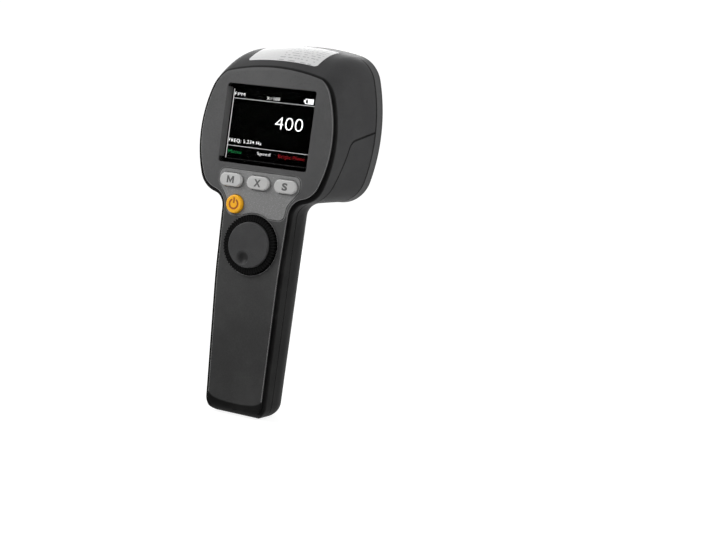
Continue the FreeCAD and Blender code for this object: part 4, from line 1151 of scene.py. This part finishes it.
@dataclass
class Display(Assembly):
    """Lit colour display in its recess. Places are in millimetres on the display face."""

    dressing = {"window_clear": ("display_window",), "display_black": ("display_panel",),
                "steel": ("display_frame",)}
    picture_out: float = -3.79
    line: float = 0.26
    edge_glare_width: float = 0.442
    left: float = -24.7
    right: float = 24.75
    foot: float = -18.5
    top: float = 18.2
    rules: Pair = (13.35, -11.75)
    cell: tuple[float, float, float, float] = (18.75, 14.2, 23.6, 16.8)
    cell_rim: float = 0.26
    cell_gap: float = 0.3
    cell_used: float = 1.6
    nose: Pair = (0.75, 0.8)
    opening: Pair = (26.78, 20.88)
    lining_ends: Pair = (2.9, 1.9)
    lining_reach: float = 1.45
    lining_bend: Pair = (0.55, 0.45)
    lining_lip: Pair = (0.05, 0.12)
    recess: float = 2.98

    def pieces(self) -> None:
        """Adds the picture and the recess's linings."""
        self.lines()
        self.readings()
        self.battery()
        self.linings()

    def lit_slab(self, name: str, corners: Sequence[float], ink: str) -> None:
        """Adds a lit rectangle of the picture.

        Args:
            name: The piece's name.
            corners: Its left, low, right and high sides.
            ink: Its finish.
        """
        piece = FACE.slab(name, box_outline(*corners), self.picture_out)
        self.add(piece, Body.HOUSING, "display_black", ink)

    def lines(self) -> None:
        """Rules and edge lines; the bright left one is a painted highlight, glare along the picture's left
        edge.
        """
        half, edge = self.line / 2, self.edge_glare_width / 2
        # Painted highlight: glare along the picture's left edge.
        self.lit_slab("screen_edge_glare_left",
                      (self.left - edge, self.foot, self.left + edge, self.top), "ink_edge")
        for number, height in enumerate(self.rules, start=1):
            self.lit_slab(f"screen_rule_{number}",
                          (self.left + half, height - half, self.right, height + half), "ink_rule")
        self.lit_slab("screen_edge_right",
                      (self.right - half, self.foot, self.right, self.rules[0]), "ink_faint")
        self.lit_slab("screen_edge_foot",
                      (self.left + half, self.foot - half, self.right, self.foot), "ink_faint")

    def readings(self) -> None:
        """The words: name, text, left end, base line, height, width, weight and ink."""
        for name, text, left, base, tall, width, weight, ink in (
                ("unit", "FPM", -24.2, 14.75, 1.8, 6.3, -0.05, "text"),
                ("factor", "X=100", -4.3, 14.2, 1.8, 7.7, -0.05, "text"),
                ("reading", "400", 2.6, -0.55, 7.2, 16.6, -0.2, "white"),
                ("frequency", "FREQ: 5.234 Hz", -24.1, -9.85, 1.95, 20.0, -0.05, "text"),
                ("menu", "Menu", -23.7, -15.75, 2.0, 8.0, -0.05, "green"),
                ("speed", "Speed", -5.8, -15.05, 1.75, 7.9, -0.05, "text"),
                ("phase", "Bright Phase", 7.1, -15.2, 1.9, 15.7, -0.05, "red")):
            piece = FACE.words("screen_" + name, text, left, base, tall, self.picture_out, width, weight)
            self.add(piece, Body.HOUSING, "display_black", "ink_" + ink)

    def battery(self) -> None:
        """Charge symbol: an outlined cell with a nose, and its filled part."""
        (left, low, right, high), rim = self.cell, self.cell_rim
        inset, (nose, step) = rim + self.cell_gap, self.nose
        parts = {"low": (left, low, right, low + rim),
                 "high": (left, high - rim, right, high),
                 "left": (left, low + rim, left + rim, high - rim),
                 "right": (right - rim, low + rim, right, high - rim),
                 "nose": (left - nose, low + step, left, high - step),
                 "charge": (left + self.cell_used, low + inset, right - inset, high - inset)}
        for part, corners in parts.items():
            self.lit_slab("battery_sign_" + part, corners, "ink_white")

    def linings(self) -> None:
        """Sloped linings of the recess, left and right: a wedge carried up the opening. Their finish is
        lighter than the housing: painted light.
        """
        (wide, tall), (below, above) = self.opening, self.lining_ends
        (share, depth), (lip, top) = self.lining_bend, self.lining_lip
        reach, deep = self.lining_reach, -self.recess
        across = np.array([wide, wide, wide - reach, wide - reach * share, wide - lip])
        out = np.array([-top, deep, deep, deep * depth, -top])
        for side, name in ((-1, "left"), (1, "right")):
            wedge = np.column_stack([side * across, out])[::side]
            rings = np.stack([np.insert(wedge, 1, up, axis=1)
                              for up in np.linspace(below - tall, tall - above, CURVE_STEPS)])
            piece = tube_grid("recess_lining_" + name, FACE.place(rings))
            self.add(piece, Body.HOUSING, "housing_dark_grey", "recess_lining")


@dataclass
class Keys(Assembly):
    """Keys with their legends, the inlay round them and their switches."""

    dressing = {"keypad_grey": ("keypad_panel",), "chip_black": ("push_switches",),
                "key_grey": ("mode_key", "multiplier_key", "shift_key"), "key_amber": ("power_key",)}
    top: float = 1.905
    base: float = -31.5
    capital: float = 3.7
    grown: float = 0.23
    stem: float = 0.95
    valley_foot: Pair = (0.2, 0.05)
    valley_top: float = 0.42
    shoulder: Pair = (1.1, 0.62)
    power: Pair = (-12.6, -42.2)
    sign_stroke: float = 0.95
    sign_radius: float = 2.5
    sign_gap: float = math.radians(36)
    sign_bar: Pair = (0.4, 3.4)

    def pieces(self) -> None:
        """Adds what is printed on the keys."""
        letter = self.capital_m(-16.5, 4.3)
        self.add(FACE.slab("mode_key_legend", letter, self.top), Body.MODE_KEY, "key_grey", "ink_key")
        for body, text, middle, width in ((Body.MULTIPLIER_KEY, "X", 0.0, 4.1),
                                          (Body.SHIFT_KEY, "S", 16.5, 3.3)):
            piece = FACE.words(body.value + "_legend", text, middle - width / 2, self.base, self.capital,
                               self.top, width, self.grown)
            self.add(piece, body, "key_grey", "ink_key")
        self.power_sign()

    def capital_m(self, middle: float, wide: float) -> np.ndarray:
        """Outline of a letter M: two stems and a valley between them, counter-clockwise.

        The valley's and the shoulders' heights are shares of the letter's, and the shoulders' width
        is a share of the stem's.

        Args:
            middle: Its middle across the face.
            wide: Its width.

        Returns:
            The outline.
        """
        half, tall, inner, (broad, low) = wide / 2, self.capital, wide / 2 - self.stem, self.shoulder
        foot, rise = self.valley_foot
        right = np.array([(foot, rise * tall), (inner, low * tall), (inner, 0.0), (half, 0.0),
                          (half, tall), (half - broad * self.stem, tall)])
        outline = np.concatenate([right, [(0.0, self.valley_top * tall)], (right * (-1, 1))[::-1]])
        return outline + (middle, self.base)

    def power_sign(self) -> None:
        """Standby sign: an open ring and a bar through its gap."""
        half, (low, high) = self.sign_stroke / 2, self.sign_bar
        ring = ring_outline(self.sign_radius, self.sign_stroke, math.pi / 2 + self.sign_gap,
                            2.5 * math.pi - self.sign_gap)
        bar = box_outline(-half, low, half, high)
        for name, outline in (("power_sign_ring", ring), ("power_sign_bar", bar)):
            piece = FACE.slab(name, outline + self.power, self.top)
            self.add(piece, Body.POWER_KEY, "key_amber", "ink_power")


@dataclass
class Dial(Assembly):
    """Knurled dial with its cap, shaft and encoder."""

    dressing = {"dial_black": ("dial_wheel",), "dial_grey": ("dial_cap",),
                "steel": ("dial_shaft", "encoder_body")}


@dataclass
class Lamp(Assembly):
    """Lamp: bezel, lens plate, nine lenses over their emitters, board and heat sink.

    wall is the lens's radius and height from its cone up to the stepped ring, from its front.
    """

    dressing = {"bezel_black": ("lens_bezel",), "plate_black": ("lens_plate",),
                "board_white": ("led_board",), "pad_grey": ("thermal_pad",),
                "aluminium": ("heat_sink",), "steel": ("led_board_screws", "bezel_screws")}
    front: float = 27.05
    height: float = 156.1
    pitch: float = 21.1
    steps: int = 72
    wall: tuple[Pair, ...] = ((0.0, -8.75), (2.75, -8.75), (2.8, -11.0), (4.5, -11.0), (9.7, -1.6),
                              (9.7, -0.15), (9.55, 0.0), (8.95, 0.0), (8.75, -0.4))
    hollow: Pair = (8.5, 5.2)
    hollow_top: float = -0.3
    hollow_depth: float = 0.55
    dome: float = 4.9
    dome_foot: float = -0.55
    dome_rise: float = 0.5

    def pieces(self) -> None:
        """Dresses the lenses and emitters, and adds the moulded lenses."""
        for row in range(3):
            for column in range(3):
                tag = f"r{row + 1}c{column + 1}"
                self.dress("lens_" + tag, "lens_clear")
                self.dress("led_emitter_" + tag, "emitter_white")
                self.lens(tag, (column - 1) * self.pitch, self.height + (1 - row) * self.pitch)

    def profile(self) -> np.ndarray:
        """Radius and height of the lens: cone, straight rim, stepped ring, shallow hollow and dome.

        The hollow is half a sine wave deep and the dome a parabola.

        Returns:
            A row for each point.
        """
        outer, inner = self.hollow
        hollow, dome = (np.linspace(*ends, CURVE_STEPS) for ends in (self.hollow, (self.dome, 0.0)))
        sunk = self.hollow_top - self.hollow_depth * np.sin(np.pi * (hollow - inner) / (outer - inner))
        crown = self.dome_foot + self.dome_rise * (1 - (dome / self.dome) ** 2)
        return np.concatenate([self.wall, np.column_stack([hollow, sunk]), np.column_stack([dome, crown])])

    def lens(self, tag: str, x: float, z: float) -> None:
        """Adds one lens.

        Args:
            tag: Its row and column.
            x: Its axis across the tool.
            z: Its axis's height.
        """
        piece = lathe_grid("moulded_lens_" + tag, self.profile(), (x, self.front, z), self.steps)
        self.add(piece, Body.HOUSING, "lens_clear")
        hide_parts("lens_" + tag)


@dataclass
class Electronics(Assembly):
    """Boards and what they carry, the cell in its cradle and the charging socket."""

    dressing = {"board_green": ("main_board", "driver_board"), "brass": ("driver_spacers",),
                "chip_black": ("main_board_parts", "driver_parts"),
                "steel": ("main_board_screws", "driver_screws", "usb_socket"),
                "cell_wrap": ("battery_cell",), "cradle_black": ("battery_cradle",)}


# ---- Studio ----
@dataclass(frozen=True)
class StudioCamera:
    """The camera: its place, the axes it looks along, and its focal length in image pixels."""

    place: Place = (0.3790, -0.66285, 0.1624)
    back: Place = (0.44011551, -0.89185529, 0.10436704)
    up: Place = (-0.14643398, 0.04338685, 0.98826852)
    focal_pixels: float = 1421.28
    image_width: float = 716.0
    sensor: float = 36.0
    clip: Pair = (0.05, 30.0)

    def build(self) -> None:
        """Makes the camera and hands it to the scene."""
        camera = bpy.data.cameras.new("studio_camera")
        camera.sensor_width = self.sensor
        camera.lens = self.focal_pixels / self.image_width * self.sensor
        camera.clip_start, camera.clip_end = self.clip
        thing = linked("studio_camera", camera)
        back, up = Vector(self.back), Vector(self.up)
        turn = Matrix((up.cross(back), up, back)).transposed().to_4x4()
        thing.matrix_world = Matrix.Translation(self.place) @ turn
        bpy.context.scene.camera = thing


@dataclass(frozen=True)
class SoftBox:
    """A soft square light: where it stands, how wide it is, its power, and the height it aims at."""

    name: str
    place: Place
    width: float
    power: float
    aim: float

    def build(self) -> None:
        """Makes the light."""
        light = bpy.data.lights.new(self.name, "AREA")
        light.shape = "RECTANGLE"
        light.size = light.size_y = self.width
        light.energy = self.power
        thing = linked(self.name, light)
        thing.location = self.place
        way = Vector((0.0, 0.0, self.aim)) - Vector(self.place)
        thing.rotation_euler = way.to_track_quat("-Z", "Y").to_euler()


@dataclass(frozen=True)
class Studio:
    """Floor, backdrop and light."""

    lights: tuple[SoftBox, ...] = (
        SoftBox("key_light", (-0.26, -0.22, 0.31), 0.22, 1.15, 0.16),
        SoftBox("side_light", (0.55, -0.05, 0.5), 0.4, 2.4, 0.16),
        SoftBox("lamp_side_light", (-0.45, 0.8, 0.5), 0.5, 3.2, 0.15))
    ambient: float = 0.2
    floor_half: float = 3.0
    floor_points: int = 61
    bend: float = 1.2
    clearance: float = 0.0001
    # painted shade: the floor's white dims near the object, between these two distances
    painted_shade_reach: Pair = (0.3, 0.9)
    painted_shade_levels: Pair = (0.86, 1.0)
    shown_tone: float = 0.3
    matte_tones: Pair = (0.78, 0.82)
    matte_scale: float = 6.0

    def build(self) -> None:
        """Makes the studio."""
        bpy.context.scene.view_settings.view_transform = "Standard"
        for light in self.lights:
            light.build()
        self.world()
        self.floor()

    def world(self) -> None:
        """White where it is seen or reflected, and a plain dim light otherwise."""
        world = bpy.data.worlds.new("studio_world")
        bpy.context.scene.world = world
        world.use_nodes = True
        tree = Tree(world.node_tree)
        background = world.node_tree.nodes["Background"].inputs
        tree.feed(background["Color"], grey(1.0))
        tree.feed(background["Strength"],
                  tree.math("ADD", self.ambient, tree.times(tree.seen(), 1.0 - self.ambient)))

    def floor(self) -> None:
        """Floor that rises into a backdrop on every side: its height grows with the distance
        beyond the flat part, as a quarter circle."""
        reach = np.linspace(-self.floor_half, self.floor_half, self.floor_points)
        x, y = np.meshgrid(reach, reach)
        beyond = np.clip(np.hypot(x, y) - (self.floor_half - self.bend), 0.0, self.bend)
        height = self.bend - np.sqrt(self.bend ** 2 - beyond ** 2)
        points = np.stack([x, y, height - self.clearance], axis=-1).reshape(-1, 3)
        faces = grid_faces(self.floor_points, self.floor_points, closed=False)
        piece = mesh_piece("studio_floor", points, faces)
        piece.data.materials.append(self.floor_white())

    def floor_white(self) -> Material:
        """The floor's material: white where it is seen, with painted shade that dims it a little near the
        object, matte to other rays, and clear from below.

        Returns:
            The material.
        """
        material = bpy.data.materials.new("studio_white")
        material.use_nodes = True
        tree = Tree(material.node_tree)
        tree.tree.nodes.clear()
        place = tree.place()
        far = tree.add("VectorMath", place, operation="LENGTH").outputs["Value"]
        white = tree.add("Emission", Color=grey(1.0),
                         Strength=tree.span(far, *self.painted_shade_reach, *self.painted_shade_levels))
        pale = tree.add("BsdfDiffuse", Color=grey(self.shown_tone))
        shown = tree.add("AddShader", pale.outputs[0], white.outputs[0])
        clouds = tree.noise(place, self.matte_scale, Detail=3.0)
        matte = tree.add("BsdfDiffuse", Color=tree.mix(clouds, *map(grey, self.matte_tones)))
        above = tree.add("MixShader", tree.seen(), matte.outputs[0], shown.outputs[0])
        below = tree.times(tree.add("NewGeometry").outputs["Backfacing"],
                           tree.add("LightPath").outputs["Is Camera Ray"])
        clear = tree.add("BsdfTransparent")
        surface = tree.add("MixShader", below, above.outputs[0], clear.outputs[0])
        tree.add("OutputMaterial", Surface=surface.outputs[0])
        return material


FINISHES = {
    "housing_dark_grey": BackShell("satin_dark_grey", (0.046, 0.046, 0.047), 0.5, 0.05, edge=0.0004),
    "housing_black": HousingPlastic("satin_black", (0.044, 0.044, 0.045), 0.48, 0.05, edge=0.0004),
    "bezel_black": BezelPlastic("bezel_satin", (0.06, 0.06, 0.061), 0.45, 0.1, grain_height=0.00002,
                                grip=(0.06, 0.06, 0.061), joint_reach=0.0007),
    # Painted light: the glow on the lens plate round each lens is glare, not a lamp.
    "plate_black": LampGlow("lamp_plate_painted_glow", grey(0.012), 0.5, 0.15, front=0.026,
                            stops=((0.0, 0.52), (0.0097, 0.52), (0.0106, 0.45), (0.012, 0.2),
                                   (0.0135, 0.08), (0.0155, 0.02), (0.019, 0.0))),
    "lens_clear": LampGlow("lamp_lens", grey(0.06), 0.22, 0.3, glow=(0.985, 1.0, 0.975),
                           stops=((0.0, 0.61), (0.0032, 0.64), (0.0048, 0.69), (0.0053, 0.63),
                                  (0.0062, 0.69), (0.0080, 0.73), (0.0087, 0.64), (0.0092, 0.75),
                                  (0.0100, 0.7))),
    "window_clear": ClearGlass("display_pane", (0.96, 0.97, 0.98), 0.03),
    "display_black": MouldedPlastic("display_glass", grey(0.0008), 0.5, 0.0, grain_height=0.000002,
                                    cloud=0.05, film=0.0),
    "steel": Metal("plated_steel", grey(0.6), 0.3),
    "board_green": CircuitBoard("green_board", (0.012, 0.11, 0.045), 0.35),
    "board_white": CircuitBoard("white_board", (0.5, 0.5, 0.48), 0.35),
    "chip_black": MouldedPlastic("epoxy_black", (0.025, 0.025, 0.027), 0.5, 0.4),
    "keypad_grey": SpeckledInlay("speckled_inlay", grey(0.21), 0.45, 0.2),
    "key_grey": SiliconeRubber("grey_rubber", (0.51, 0.51, 0.505), 0.45, 0.3, sheen=0.05),
    "key_amber": SiliconeRubber("amber_rubber", (0.98, 0.46, 0.012), 0.42, 0.3, sheen=0.0),
    "dial_black": KnurledRubber("black_rubber", grey(0.001), 0.55, 0.03),
    "dial_grey": DialPlastic("dial_satin", (0.054, 0.054, 0.055), 0.42, 0.1, edge=0.0003),
    "pad_grey": SiliconeRubber("thermal_grey", (0.25, 0.28, 0.3), 0.7, 0.3),
    "aluminium": Metal("extruded_aluminium", (0.72, 0.73, 0.74), 0.35),
    "brass": Metal("turned_brass", (0.72, 0.53, 0.22), 0.28),
    "cell_wrap": MouldedPlastic("cell_film", (0.03, 0.13, 0.36), 0.3, 0.5, grain_height=0.000005),
    "cradle_black": MouldedPlastic("cradle_black", grey(0.03), 0.55, 0.4),
    "screw_black": Metal("blackened_steel", (0.07, 0.07, 0.075), 0.4),
    "label_white": Paper("label_stock", grey(0.68), 0.45, 0.3),
    "emitter_white": Luminous("phosphor", (1.0, 0.97, 0.86), 0.6, 0.3, strength=1.2),
}
INKS = {
    "ink_white": Luminous("screen_white", grey(0.95)),
    "ink_text": Luminous("screen_text", grey(0.9)),
    "ink_rule": Luminous("screen_rule", grey(0.3)),
    # painted highlight: glare along the picture's left edge
    "ink_edge": Luminous("screen_edge", (0.36, 0.35, 0.35)),
    "ink_faint": Luminous("screen_faint", grey(0.03)),
    "ink_green": Luminous("screen_green", (0.012, 0.17, 0.05)),
    "ink_red": Luminous("screen_red", (0.22, 0.01, 0.014)),
    # Painted light: the linings are lighter than the housing to stand for light on the recess walls.
    "recess_lining": MouldedPlastic("lining_painted_light", grey(0.1), 0.45, 0.2),
    "ink_key": MouldedPlastic("key_print", grey(0.1), 0.5, 0.3),
    "ink_power": MouldedPlastic("power_print", (0.36, 0.09, 0.008), 0.5, 0.3),
}


def main() -> None:
    """Builds the camera, the studio and every sub-assembly."""
    StudioCamera().build()
    Studio().build()
    effects = Effects()
    finishes = {slot: finish.make(effects) for slot, finish in (FINISHES | INKS).items()}
    for assembly in (Housing, Display, Keys, Dial, Lamp, Electronics):
        assembly(finishes).build()


if __name__ == "__main__":
    main()
